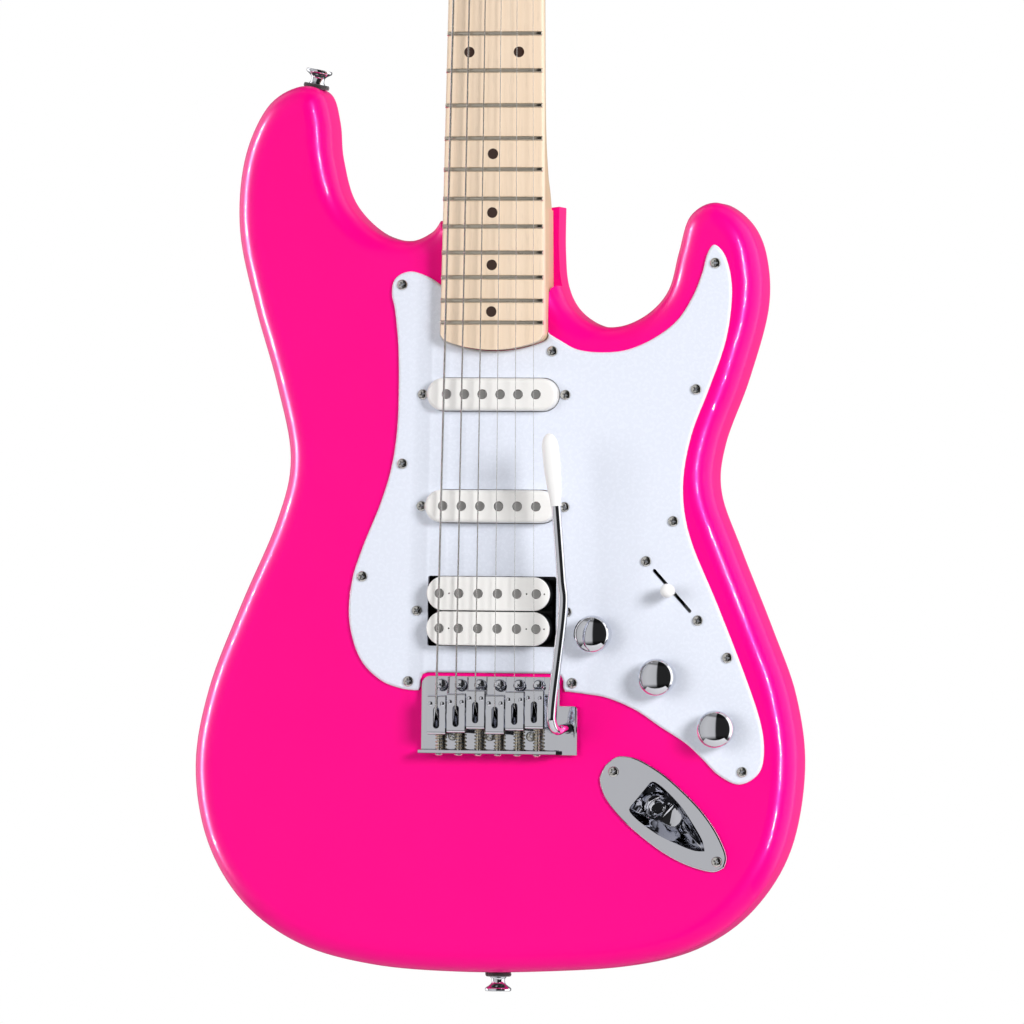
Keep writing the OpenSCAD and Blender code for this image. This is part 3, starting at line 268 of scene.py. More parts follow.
def heel_outline(gap=0.0, end_y=POCKET_Y):
    """Outline of the neck's round heel up to end_y, wider by gap."""
    side = neck_w(end_y) / 2 + gap
    corners = [(side, end_y, 0), (-side, end_y, 0)]
    spread = math.asin((neck_w(HEEL_Y) / 2 + gap) / HEEL_ARC_R)
    centre_y = HEEL_Y - gap + HEEL_ARC_R
    steps = [-1.0] + [k / 12 for k in range(-10, 11)] + [1.0]
    for step in steps:
        x = HEEL_ARC_R * math.sin(spread * step)
        y = centre_y - HEEL_ARC_R * math.cos(spread * step)
        corners.append((x, y, HEEL_CORNER_R if abs(step) == 1 else 0))
    return filleted(corners)


# ---- Solids: pairs of a vertex list and a face list ----
def moved(solid, matrix):
    return [matrix @ v for v in solid[0]], solid[1]


def joined(*solids):
    verts, faces = [], []
    for v, f in solids:
        faces += [tuple(i + len(verts) for i in face) for face in f]
        verts += v
    return verts, faces


def copies(solid, matrices):
    return joined(*[moved(solid, m) for m in matrices])


def loft(rings, caps=(True, True)):
    """Skin over closed rings of equal point counts."""
    n = len(rings[0])
    verts = [Vector(p) for ring in rings for p in ring]
    faces = []
    for k in range(len(rings) - 1):
        for i in range(n):
            j = (i + 1) % n
            faces.append((k * n + i, k * n + j, (k + 1) * n + j, (k + 1) * n + i))
    if caps[0]:
        faces.append(tuple(range(n - 1, -1, -1)))
    if caps[1]:
        faces.append(tuple((len(rings) - 1) * n + i for i in range(n)))
    return verts, faces


def lathe(profile, count=48):
    """Solid of revolution about z from (radius, height) pairs; zero radii at the ends close it."""
    rings = [[Vector((p.x, p.y, z)) for p in circle(max(r, 1e-4), count)] for r, z in profile]
    return loft(rings)


RIM = 0.15


def plate(outer, holes, profile):
    """Solid between an outline and its holes; profile is (inset, height) pairs from low to high.
    A narrow flat rim on both faces keeps their shading flat."""
    loops = [turned(list(outer))] + [turned(list(h), False) for h in holes]
    levels = [(profile[0][0] + RIM, profile[0][1])] + list(profile) + [(profile[-1][0] + RIM, profile[-1][1])]
    verts, faces = [], []
    starts = []
    for loop in loops:
        starts.append(len(verts))
        n = len(loop)
        for distance, z in levels:
            ring = uncrossed(inset(loop, distance)) if distance else loop
            verts += [Vector((p.x, p.y, z)) for p in ring]
        for k in range(len(levels) - 1):
            for i in range(n):
                j = (i + 1) % n
                a = starts[-1] + k * n
                faces.append((a + i, a + j, a + n + j, a + n + i))
    for level, up in ((0, False), (len(levels) - 1, True)):
        index, flat = [], []
        for loop, start in zip(loops, starts):
            ids = [start + level * len(loop) + i for i in range(len(loop))]
            index += ids
            flat.append([verts[i] for i in ids])
        for tri in geometry.tessellate_polygon(flat):
            a, b, c = (verts[index[i]] for i in tri)
            ids = tuple(index[i] for i in tri)
            faces.append(ids if ((b - a).cross(c - a).z > 0) == up else ids[::-1])
    return verts, faces


def soft_edge(z0, z1, r, count=3):
    """Profile for plate() with both edges rounded by r."""
    low = [(r - r * math.sin(math.radians(90 * k / count)), z0 + r - r * math.cos(math.radians(90 * k / count)))
           for k in range(count + 1)]
    high = [(r - r * math.cos(math.radians(90 * k / count)), z1 - r + r * math.sin(math.radians(90 * k / count)))
            for k in range(count + 1)]
    return low + high


def top_edge(z0, z1, r, count=3):
    """Profile for plate() with only the high edge rounded by r."""
    return [(0.0, z0)] + [(r - r * math.cos(math.radians(90 * k / count)),
                           z1 - r + r * math.sin(math.radians(90 * k / count))) for k in range(count + 1)]


def block(x, y, z, r=0.3):
    """Box between two x, y and z limits with softened edges."""
    outline = rounded(x[1] - x[0], y[1] - y[0], r, 3, ((x[0] + x[1]) / 2, (y[0] + y[1]) / 2))
    return plate(outline, [], soft_edge(z[0], z[1], min(r, (z[1] - z[0]) / 2.2)))


def tube(path, radius, count=16, caps=True):
    """Round tube along 3-D points; radius is a number or a list, one for each point."""
    pts = [Vector(p) for p in path]
    radii = radius if isinstance(radius, list) else [radius] * len(pts)
    rings, side = [], None
    for i, p in enumerate(pts):
        along = (pts[min(i + 1, len(pts) - 1)] - pts[max(i - 1, 0)]).normalized()
        if side is None:
            side = along.orthogonal().normalized()
        side = (side - along * side.dot(along)).normalized()
        other = along.cross(side)
        rings.append([p + (side * math.cos(a) + other * math.sin(a)) * radii[i]
                      for a in (2 * math.pi * k / count for k in range(count))])
    return loft(rings, (caps, caps))


def coil(r, pitch, turns, wire, per_turn=14, count=8, start=0.0):
    """Helical wire about z from z = start, with its end turns closed up."""
    path = []
    steps = int(turns * per_turn)
    z = start
    for k in range(steps + 1):
        a = 2 * math.pi * k / per_turn
        near_end = min(k, steps - k) < per_turn
        path.append(Vector((r * math.cos(a), r * math.sin(a), z)))
        z += (wire * 1.04 if near_end else pitch) / per_turn
    return tube(path, wire / 2, count)


# ---- Objects ----
PIECES = {}


def show(name, solid, material, body="guitar", stands_for=(), smooth=35, place=PLAN):
    """Makes a piece from a solid in the plan frame, rides it on its body and hides the CAD nodes it
    stands for."""
    mesh = bpy.data.meshes.new(name)
    mesh.from_pydata([place @ v for v in solid[0]], [], solid[1])
    mesh.validate()
    obj = bpy.data.objects.new(name, mesh)
    bpy.context.scene.collection.objects.link(obj)
    finish_mesh(obj, smooth)
    obj.data.materials.append(material)
    if body:
        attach(obj, body)
    if stands_for:
        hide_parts(*stands_for)
    PIECES[name] = obj
    return obj


def finish_mesh(obj, smooth):
    """Merges doubled points, turns normals outwards and keeps edges above the angle sharp."""
    bm = bmesh.new()
    bm.from_mesh(obj.data)
    bmesh.ops.remove_doubles(bm, verts=bm.verts, dist=1e-7)
    bmesh.ops.dissolve_degenerate(bm, edges=bm.edges, dist=1e-8)
    bmesh.ops.recalc_face_normals(bm, faces=bm.faces)
    bm.to_mesh(obj.data)
    bm.free()
    obj.data.shade_smooth()
    obj.data.set_sharp_from_angle(angle=math.radians(smooth))


def carve(obj, cutters, inside=None, smooth=35, operation="DIFFERENCE", place=PLAN):
    """Cuts solids out of obj, or unites them with it; cut faces take the inside material."""
    for solid in cutters:
        mesh = bpy.data.meshes.new("cutter")
        mesh.from_pydata([place @ v for v in solid[0]], [], solid[1])
        tool = bpy.data.objects.new("cutter", mesh)
        bpy.context.scene.collection.objects.link(tool)
        finish_mesh(tool, 35)
        if inside:
            mesh.materials.append(inside)
        mod = obj.modifiers.new("cut", "BOOLEAN")
        mod.operation = operation
        mod.solver = "EXACT"
        mod.object = tool
        if inside:
            mod.material_mode = "TRANSFER"
        bpy.context.view_layer.update()
        cut = bpy.data.meshes.new_from_object(obj.evaluated_get(bpy.context.evaluated_depsgraph_get()))
        obj.modifiers.clear()
        obj.data = cut
        bpy.data.objects.remove(tool)
    obj.data.shade_smooth()
    obj.data.set_sharp_from_angle(angle=math.radians(smooth))


def dress(node, material, bevel=0.0):
    """Gives a CAD node its material, and softens its edges with a modifier."""
    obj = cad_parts[node]
    obj.data.materials.clear()
    obj.data.materials.append(material)
    if bevel:
        mod = obj.modifiers.new("soft edges", "BEVEL")
        mod.width = bevel * MM
        mod.segments = 2
        mod.limit_method = "ANGLE"
        mod.angle_limit = math.radians(50)
        mod.harden_normals = True


# ---- Materials ----
class Shader:
    """A Principled material with short helpers for procedural detail in object coordinates."""

    def __init__(self, name, **values):
        self.material = bpy.data.materials.new(name)
        self.material.use_nodes = True
        self.tree = self.material.node_tree
        self.surface = self.tree.nodes["Principled BSDF"]
        for key, value in values.items():
            self.surface.inputs[key.replace("_", " ")].default_value = value
        self.place = self.add("ShaderNodeTexCoord").outputs["Object"]

    def add(self, kind, **settings):
        node = self.tree.nodes.new(kind)
        for key, value in settings.items():
            if key in node.inputs:
                node.inputs[key].default_value = value
            else:
                setattr(node, key, value)
        return node

    def link(self, source, node, name):
        self.tree.links.new(source, node.inputs[name])

    def stretched(self, x, y, z, turn=(0.0, 0.0, 0.0)):
        """Object coordinates scaled along each axis."""
        node = self.add("ShaderNodeMapping")
        node.inputs["Scale"].default_value = (x, y, z)
        node.inputs["Rotation"].default_value = turn
        self.link(self.place, node, "Vector")
        return node.outputs["Vector"]

    def noise(self, where, scale, detail=4.0, rough=0.5, distortion=0.0):
        node = self.add("ShaderNodeTexNoise", Scale=scale, Detail=detail, Roughness=rough, Distortion=distortion)
        self.link(where, node, "Vector")
        return node.outputs["Fac"]

    def ramp(self, fac, stops):
        node = self.add("ShaderNodeValToRGB")
        while len(node.color_ramp.elements) < len(stops):
            node.color_ramp.elements.new(0.5)
        for element, (at, colour) in zip(node.color_ramp.elements, stops):
            element.position = at
            element.color = (*colour, 1.0) if isinstance(colour, tuple) else (colour, colour, colour, 1.0)
        self.link(fac, node, "Fac")
        return node.outputs["Color"]

    def mix(self, fac, a, b, blend="MIX"):
        node = self.add("ShaderNodeMix", data_type="RGBA", blend_type=blend)
        for socket, value in ((node.inputs[0], fac), (node.inputs[6], a), (node.inputs[7], b)):
            if isinstance(value, (float, int)):
                socket.default_value = value
            elif isinstance(value, tuple):
                socket.default_value = (*value, 1.0)
            else:
                self.tree.links.new(value, socket)
        return node.outputs[2]

    def colour(self, source):
        self.link(source, self.surface, "Base Color")

    def roughness(self, fac, low, high):
        node = self.add("ShaderNodeMapRange")
        node.inputs["To Min"].default_value = low
        node.inputs["To Max"].default_value = high
        self.link(fac, node, "Value")
        self.link(node.outputs["Result"], self.surface, "Roughness")

    def bump(self, height, strength, depth):
        node = self.add("ShaderNodeBump", Strength=strength, Distance=depth)
        self.link(height, node, "Height")
        self.link(node.outputs["Normal"], self.surface, "Normal")


def gloss_paint():
    """Fluorescent pink lacquer: a very faint mottle, a gloss coat and hardly any orange peel."""
    s = Shader("pink_gloss_paint", Roughness=0.32, Specular_Tint=(1.0, 0.05, 0.45, 1.0), IOR=1.45,
               Specular_IOR_Level=0.25, Coat_Weight=0.12, Coat_Roughness=0.012, Coat_IOR=1.5)
    mottle = s.noise(s.place, 6.0, 3.0)
    s.colour(s.mix(mottle, (0.97, 0.0006, 0.235), (0.99, 0.0018, 0.265)))
    s.roughness(s.noise(s.place, 40.0, 2.0), 0.29, 0.36)
    s.bump(s.noise(s.place, 260.0, 1.0), 0.02, 0.0002)
    return s.material


def cavity_paint_and_hole_shade():
    """Dull black paint in the routes below the pickguard, as the real body has; the same black is laid on the walls of
    the pole holes in the white pickup covers and humbucker flanges as painted shade.
    """
    s = Shader("cavity_paint_and_hole_shade", Roughness=0.85)
    grain = s.noise(s.place, 300.0, 4.0)
    s.colour(s.ramp(grain, [(0.3, 0.006), (0.8, 0.02)]))
    s.bump(grain, 0.4, 0.0003)
    return s.material


def maple(name, light, dark, gloss, flecks=0.35):
    """Straight-grained maple: long fibres along the neck, broad figure and small dark flecks."""
    s = Shader(name, Roughness=gloss, Coat_Weight=0.25, Coat_Roughness=0.12, IOR=1.45)
    fibres = s.noise(s.stretched(420.0, 420.0, 7.0), 1.0, 5.0, 0.55)
    figure = s.noise(s.stretched(46.0, 46.0, 3.2), 1.0, 4.0, 0.55, 0.8)
    fleck = s.noise(s.stretched(900.0, 900.0, 90.0), 1.0, 2.0, 0.5)
    tone = s.mix(0.45, figure, fibres)
    base = s.ramp(tone, [(0.30, dark), (0.50, tuple((a + b) / 2 for a, b in zip(light, dark))), (0.68, light)])
    marks = s.ramp(fleck, [(0.30, 1.0 - flecks), (0.42, 1.0)])
    s.colour(s.mix(1.0, base, marks, "MULTIPLY"))
    s.roughness(fibres, gloss - 0.05, gloss + 0.10)
    s.bump(fibres, 0.06, 0.0002)
    return s.material


def metal(name, colour, low, high, scratches=0.03, scale=90.0):
    """Plated or bare metal with uneven polish and fine handling marks."""
    s = Shader(name, Metallic=1.0)
    wipe = s.noise(s.stretched(1.0, 1.0, 0.35), scale, 5.0, 0.6)
    pores = s.noise(s.place, scale * 22.0, 2.0)
    s.colour(s.mix(wipe, tuple(c * 0.96 for c in colour), colour))
    s.roughness(wipe, low, high)
    s.bump(s.mix(0.5, wipe, pores), scratches, 0.00004)
    return s.material


def brushed(name, colour, axis_scale, rough):
    """Metal with a lay of fine lines along one axis."""
    s = Shader(name, Metallic=1.0)
    lines = s.noise(s.stretched(*axis_scale), 1.0, 3.0, 0.6)
    s.colour(s.mix(lines, tuple(c * 0.88 for c in colour), colour))
    s.roughness(lines, rough - 0.06, rough + 0.08)
    s.bump(lines, 0.12, 0.00004)
    return s.material


def plastic(name, colour, rough, speckle=0.015, coat=0.3):
    """Moulded plastic with a faint tone drift and a fine moulding texture."""
    s = Shader(name, Roughness=rough, Coat_Weight=coat, Coat_Roughness=0.05, IOR=1.46)
    drift = s.noise(s.place, 18.0, 3.0)
    s.colour(s.mix(drift, tuple(c * (1 - speckle) for c in colour), colour))
    s.roughness(s.noise(s.place, 500.0, 3.0), rough - 0.04, rough + 0.06)
    s.bump(s.noise(s.place, 1400.0, 2.0), 0.01, 0.00005)
    return s.material


def felt():
    s = Shader("black_felt", Roughness=0.95, Sheen_Weight=0.4, Sheen_Roughness=0.6)
    fibres = s.noise(s.place, 1800.0, 6.0, 0.7, 1.5)
    s.colour(s.ramp(fibres, [(0.3, 0.004), (0.75, 0.03)]))
    s.bump(fibres, 0.8, 0.0006)
    return s.material


def wound_wire(name, colour, windings):
    """String wound with fine round wire: rings every 1/windings metres along the neck, with painted shade darkening
    the grooves between the rings.
    """
    s = Shader(name, Metallic=1.0, Roughness=0.2)
    wave = s.add("ShaderNodeTexWave", wave_type="BANDS", bands_direction="Z", wave_profile="SIN", Scale=windings)
    s.link(s.place, wave, "Vector")
    # The dark half of the ramp falls in the grooves between the wraps: painted shade.
    s.colour(s.ramp(wave.outputs["Fac"], [(0.0, tuple(c * 0.5 for c in colour)), (0.6, colour)]))
    s.bump(wave.outputs["Fac"], 0.6, 0.0001)
    return s.material


def coil_wire():
    """Fine enamelled copper wire in even layers."""
    s = Shader("coil_copper", Metallic=0.6, Roughness=0.35)
    layers = s.noise(s.stretched(6000.0, 9000.0, 500.0), 1.0, 2.0)
    s.colour(s.ramp(layers, [(0.3, (0.10, 0.02, 0.01)), (0.7, (0.35, 0.10, 0.04))]))
    s.bump(layers, 0.3, 0.0001)
    return s.material


def floor_paper():
    s = Shader("floor_paper", Roughness=0.9)
    s.colour(s.ramp(s.noise(s.place, 30.0, 4.0), [(0.2, 0.80), (0.8, 0.84)]))
    return s.material


PINK = gloss_paint()
CAVITY_AND_HOLE_SHADE = cavity_paint_and_hole_shade()
NECK_WOOD = maple("neck_maple", (0.70, 0.545, 0.36), (0.60, 0.445, 0.28), 0.40, 0.12)
BOARD_WOOD = maple("board_maple", (0.90, 0.72, 0.55), (0.84, 0.65, 0.475), 0.34, 0.08)
CHROME = metal("chrome", (0.72, 0.73, 0.78), 0.03, 0.07)
PLATE_CHROME = metal("plate_chrome", (0.70, 0.71, 0.76), 0.03, 0.06)
NICKEL = metal("nickel_steel", (0.66, 0.65, 0.62), 0.12, 0.24, 0.06)
# The wire's own pale metal tone, pushed towards tan as a painted reflection of the maple board.
FRET_STEEL_WOOD_REFLECTION = brushed("fret_steel_wood_reflection", (0.62, 0.56, 0.47), (40.0, 900.0, 900.0), 0.28)
POLE_STEEL = brushed("pole_steel", (0.46, 0.45, 0.44), (700.0, 700.0, 700.0), 0.34)
CAST = metal("cast_metal", (0.50, 0.50, 0.52), 0.35, 0.55, 0.3)
PLAIN_STRING = metal("plain_string", (0.80, 0.79, 0.78), 0.15, 0.25)
WOUND_STRING = wound_wire("wound_string", (0.75, 0.74, 0.72), 1400.0)
WHITE = plastic("white_plastic", (0.88, 0.865, 0.845), 0.30)
GUARD = plastic("guard_white", (0.785, 0.825, 0.93), 0.26)
# Darker copy of the guard white, laid on the walls of the guard's pickup and switch holes: painted shade along those
# edges.
GUARD_HOLE_SHADE = plastic("guard_hole_wall_shade", (0.50, 0.52, 0.60), 0.4)
TIP_WHITE = plastic("tip_white", (0.90, 0.895, 0.89), 0.35)
BONE = plastic("bone_white", (0.88, 0.85, 0.78), 0.35)
BLACK = plastic("black_plastic", (0.012, 0.012, 0.014), 0.45, 0.3)
GOLD_NICKEL = metal("gold_nickel", (0.70, 0.62, 0.47), 0.12, 0.2)
INLAY = plastic("dot_inlay", (0.035, 0.012, 0.006), 0.35, 0.2)
FELT = felt()
COPPER = coil_wire()


# ---- More shapes ----
ALONG_X = Matrix(((0, 0, 1, 0), (1, 0, 0, 0), (0, 1, 0, 0), (0, 0, 0, 1)))
Y_UP = spin("X", -90)
X_UP = spin("Y", 90)


def prism(outline, z0, z1, r=0.0):
    return plate(outline, [], soft_edge(z0, z1, r) if r else [(0.0, z0), (0.0, z1)])


def slot_box(x, y, z, r):
    """Prism between two x, y and z limits with round corners in plan."""
    centre = ((x[0] + x[1]) / 2, (y[0] + y[1]) / 2)
    return prism(rounded(x[1] - x[0], y[1] - y[0], r, 6, centre), z[0], z[1])


def filleted(corners, count=6):
    """Closed outline through (x, y, radius) corners."""
    pts = [Vector((c[0], c[1])) for c in corners]
    out = []
    for i, (p, corner) in enumerate(zip(pts, corners)):
        if not corner[2]:
            out.append(p)
            continue
        back = (pts[i - 1] - p).normalized()
        ahead = (pts[(i + 1) % len(pts)] - p).normalized()
        half = back.angle(ahead) / 2
        centre = p + (back + ahead).normalized() * corner[2] / math.sin(half)
        first = p + back * corner[2] / math.tan(half) - centre
        final = p + ahead * corner[2] / math.tan(half) - centre
        sweep = math.pi - 2 * half
        for k in range(count + 1):
            u = k / count
            out.append(centre + (first * math.sin((1 - u) * sweep) + final * math.sin(u * sweep))
                       / math.sin(sweep))
    return out


def hulled(circles):
    """Outline round several (x, y, radius) circles."""
    pts = [p for x, y, r in circles for p in circle(r, 32, (x, y))]
    return [pts[i] for i in geometry.convex_hull_2d(pts)]


def resampled(points, count):
    """The open outline as count points at equal distances."""
    lengths = [0.0]
    for a, b in zip(points, points[1:]):
        lengths.append(lengths[-1] + (b - a).length)
    out, k = [], 0
    for i in range(count):
        want = lengths[-1] * i / (count - 1)
        while k < len(points) - 2 and lengths[k + 1] < want:
            k += 1
        t = (want - lengths[k]) / (lengths[k + 1] - lengths[k])
        out.append(points[k].lerp(points[k + 1], min(t, 1.0)))
    return out


def slab(top, low):
    """Closed solid between two grids of points with the same rows and columns."""
    rows, cols = len(top), len(top[0])
    verts = [Vector(p) for grid in (top, low) for row in grid for p in row]
    base = rows * cols
    faces = []
    for r in range(rows - 1):
        for c in range(cols - 1):
            a = r * cols + c
            faces.append((a, a + 1, a + cols + 1, a + cols))
            faces.append((base + a, base + a + cols, base + a + cols + 1, base + a + 1))
    rim = [c for c in range(cols)] + [r * cols + cols - 1 for r in range(1, rows)]
    rim += [(rows - 1) * cols + c for c in range(cols - 2, -1, -1)] + [r * cols for r in range(rows - 2, 0, -1)]
    for a, b in zip(rim, rim[1:] + rim[:1]):
        faces.append((a, base + a, base + b, b))
    return verts, faces


def oval(width, height, power, count, centre=(0.0, 0.0)):
    """Superellipse."""
    out = []
    for k in range(count):
        a = 2 * math.pi * k / count
        c, s = math.cos(a), math.sin(a)
        out.append(Vector((centre[0] + math.copysign(abs(c) ** (2 / power), c) * width / 2,
                           centre[1] + math.copysign(abs(s) ** (2 / power), s) * height / 2)))
    return out


def hollow(profile, count=48):
    """Ring of revolution about z from a closed (radius, height) profile."""
    rings = [[Vector((p.x, p.y, z)) for p in circle(r, count)] for r, z in profile + profile[:1]]
    return loft(rings, (False, False))


def cross_screw(head_d, head_h, shank_d, length, reach=0.52):
    """Oval-head screw with a cross recess, its head resting at z = 0."""
    r = head_d / 2
    dome = [(r * math.cos(math.radians(a)), head_h * (0.25 + 0.75 * math.sin(math.radians(a))))
            for a in range(0, 91, 10)]
    blank = lathe([(0, -length), (shank_d * 0.2, -length), (shank_d / 2, 2 - length), (shank_d / 2, 0),
                   (r * 0.93, 0), (r, head_h * 0.1)] + dome, 32)
    obj = show("blank", blank, PINK, None, place=Matrix.Identity(4))
    arm, wing = r * reach, r * reach / 4
    recess = []
    for turn in (0, 90):
        rings = [[Vector((sx * arm * k, sy * wing * k, z)) for sx, sy in ((1, 1), (-1, 1), (-1, -1), (1, -1))]
                 for k, z in ((0.35, -head_h * 0.35), (1.25, head_h * 1.2))]
        recess.append(moved(loft(rings), spin("Z", turn + 20)))
    carve(obj, recess, place=Matrix.Identity(4))
    solid = ([v.co.copy() for v in obj.data.vertices], [tuple(p.vertices) for p in obj.data.polygons])
    bpy.data.objects.remove(obj)
    PIECES.pop("blank")
    return solid


# ---- Body ----
def make_body():
    outline = turned(curve(BODY_ROUTE, 8))
    body = show("body_shell", plate(outline, [], soft_edge(BACK_Z, 0, EDGE_R, 10)), PINK, "guitar", ["body"])
    pocket = [prism(heel_outline(0.15), HEEL_Z, 6)]
    wall_end = [(10, 275), (44, 275), (44, WALL_END_Y - 2), (30.5, WALL_END_Y - 2), (28.5, WALL_END_Y - 3.5),
                (27.3, WALL_END_Y - 7), (26.5, WALL_END_Y - 12), (10, WALL_END_Y - 12)]
    pocket.append(prism(turned([Vector(p) for p in wall_end]), HEEL_Z, 6))
    pocket += [moved(prism(circle(7.2), 0, 12), ON_TAIL), moved(prism(circle(7.2), 0, 12), ON_HORN)]
    carve(body, pocket)
    routes = [slot_box((-44, 44), (y - 12, y + 12), (-19, 5), 4) for y in (NECK_PICKUP_Y, MIDDLE_PICKUP_Y)]
    routes.append(slot_box((-47, 47), (HUMBUCKER_Y - 21, HUMBUCKER_Y + 21), (-19, 5), 4))
    routes.append(prism(hulled([(56, 31, 14), (122, -17.5, 14.5), (103, 47, 12), (83, 69, 12)]), -30, 5))
    routes.append(slot_box((-39, 39), (-36, 118), (BACK_Z - 3, BACK_Z + 16), 5))
    routes.append(slot_box((-36, 36), (-31, -8), (BACK_Z + 8, 5), 2))
    routes.append(slot_box((33, 46), (-26, -12), (-17, 5), 1))
    routes.append(moved(prism(hulled([(-20, 0, 12.5), (22, 0, 10)]), BACK_Z + 6, 5), ON_JACK_PLATE))
    carve(body, routes, CAVITY_AND_HOLE_SHADE)


def make_guard():
    neck_side = [(-neck_w(213) / 2 - 0.4, 213)] + [tuple(p) for p in heel_outline(0.4)[2:]]
    neck_side.append((neck_w(188) / 2 + 0.4, 188))
    outline = (curve(GUARD_UPPER, 6) + [Vector(p) for p in GUARD_NOTCH] + curve(GUARD_LOWER, 6)
               + [Vector(p) for p in neck_side])
    holes = [stadium(COVER_L + 0.8, COVER_W + 0.8, 24, (0, y)) for y in (NECK_PICKUP_Y, MIDDLE_PICKUP_Y)]
    holes.append(rounded(69, 36.6, 1.2, 5, (0, HUMBUCKER_Y)))
    slot = [ON_SWITCH @ p.to_3d() for p in stadium(30, 1.9, 8)]
    holes.append([p.to_2d() for p in slot])
    profile = [(0.0, 0.02), (0.0, 1.1), (0.12, 1.3), (0.85, 2.12), (1.15, 2.26), (1.5, GUARD_T)]
    outer = plate(turned(outline), [], profile)
    guard = show("pickguard_sheet", outer, GUARD, "guitar", ["pickguard"], 30)
    # The cut walls of the holes take the darker copy of the guard white: painted shade.
    carve(guard, [prism(turned(h), -2, 5) for h in holes], GUARD_HOLE_SHADE, 30)


def make_neck():
    def ring(y, left, right, top, low, power):
        pts = []
        for k in range(33):
            a = math.pi * k / 32
            c, s = math.cos(a), math.sin(a)
            x = (left + right) / 2 + math.copysign(abs(c) ** (2 / power), c) * (right - left) / 2
            pts.append(Vector((x, y, top - (top - low) * abs(s) ** (2 / power))))
        return pts

    rings = []
    deep = WOOD_TOP - HEEL_Z
    for y, depth, power in ((POCKET_Y - 6, deep, 14), (POCKET_Y, deep, 12), (POCKET_Y + 4, deep - 0.1, 9),
                            (POCKET_Y + 8, 17.7, 7), (POCKET_Y + 14, 17.3, 4.5), (POCKET_Y + 22, 16.8, 3.5),
                            (POCKET_Y + 32, 16.3, 2.8), (POCKET_Y + 42, 16, 2.45), (POCKET_Y + 60, 15.9, 2.25), (POCKET_Y + 200, 15.5, 2.2), (NUT_Y - 60, 15.1, 2.2),
                            (NUT_Y - 10, 15, 2.25), (NUT_Y, 15, 2.3)):
        half = neck_w(y) / 2
        rings.append(ring(y, -half, half, WOOD_TOP, WOOD_TOP - depth, power))
    head_low = HEAD_TOP - HEAD_T
    for dy, top, low, power, left in ((1.5, 4.3, -10.7, 2.5, -21), (4, 3.6, -11.3, 3.2, -21.2),
                                      (7, 2.6, -12.1, 5, -22), (10, 1.9, -12.5, 9, -23.2),
                                      (14, 1.45, -12.55, 14, -25.2), (18, HEAD_TOP - 0.1, head_low + 0.1, 16, -26)):
        rings.append(ring(NUT_Y + dy, left, 21 + 0.1 * dy, top, low, power))
    neck = show("neck_shaft", loft(rings), NECK_WOOD, "guitar", ["neck"], 40)
    heel = plate(turned(heel_outline(0, POCKET_Y - 2)), [], soft_edge(HEEL_Z, WOOD_TOP, 0.6))
    head = filleted([(-21, 6, 0), (-30.3, 22, 3.5), (6, 170, 0)], 6) + curve(HEAD_ROUTE, 8)[::-1][1:]
    head = prism(turned([p + Vector((0, NUT_Y)) for p in head]), head_low, HEAD_TOP, 1.6)
    carve(neck, [heel, head], None, 40, "UNION")
    holes = [moved(prism(circle(4.4, 32), head_low - 2, HEAD_TOP + 2), post_frame(i)) for i in range(6)]
    carve(neck, [joined(*holes)], None, 40)


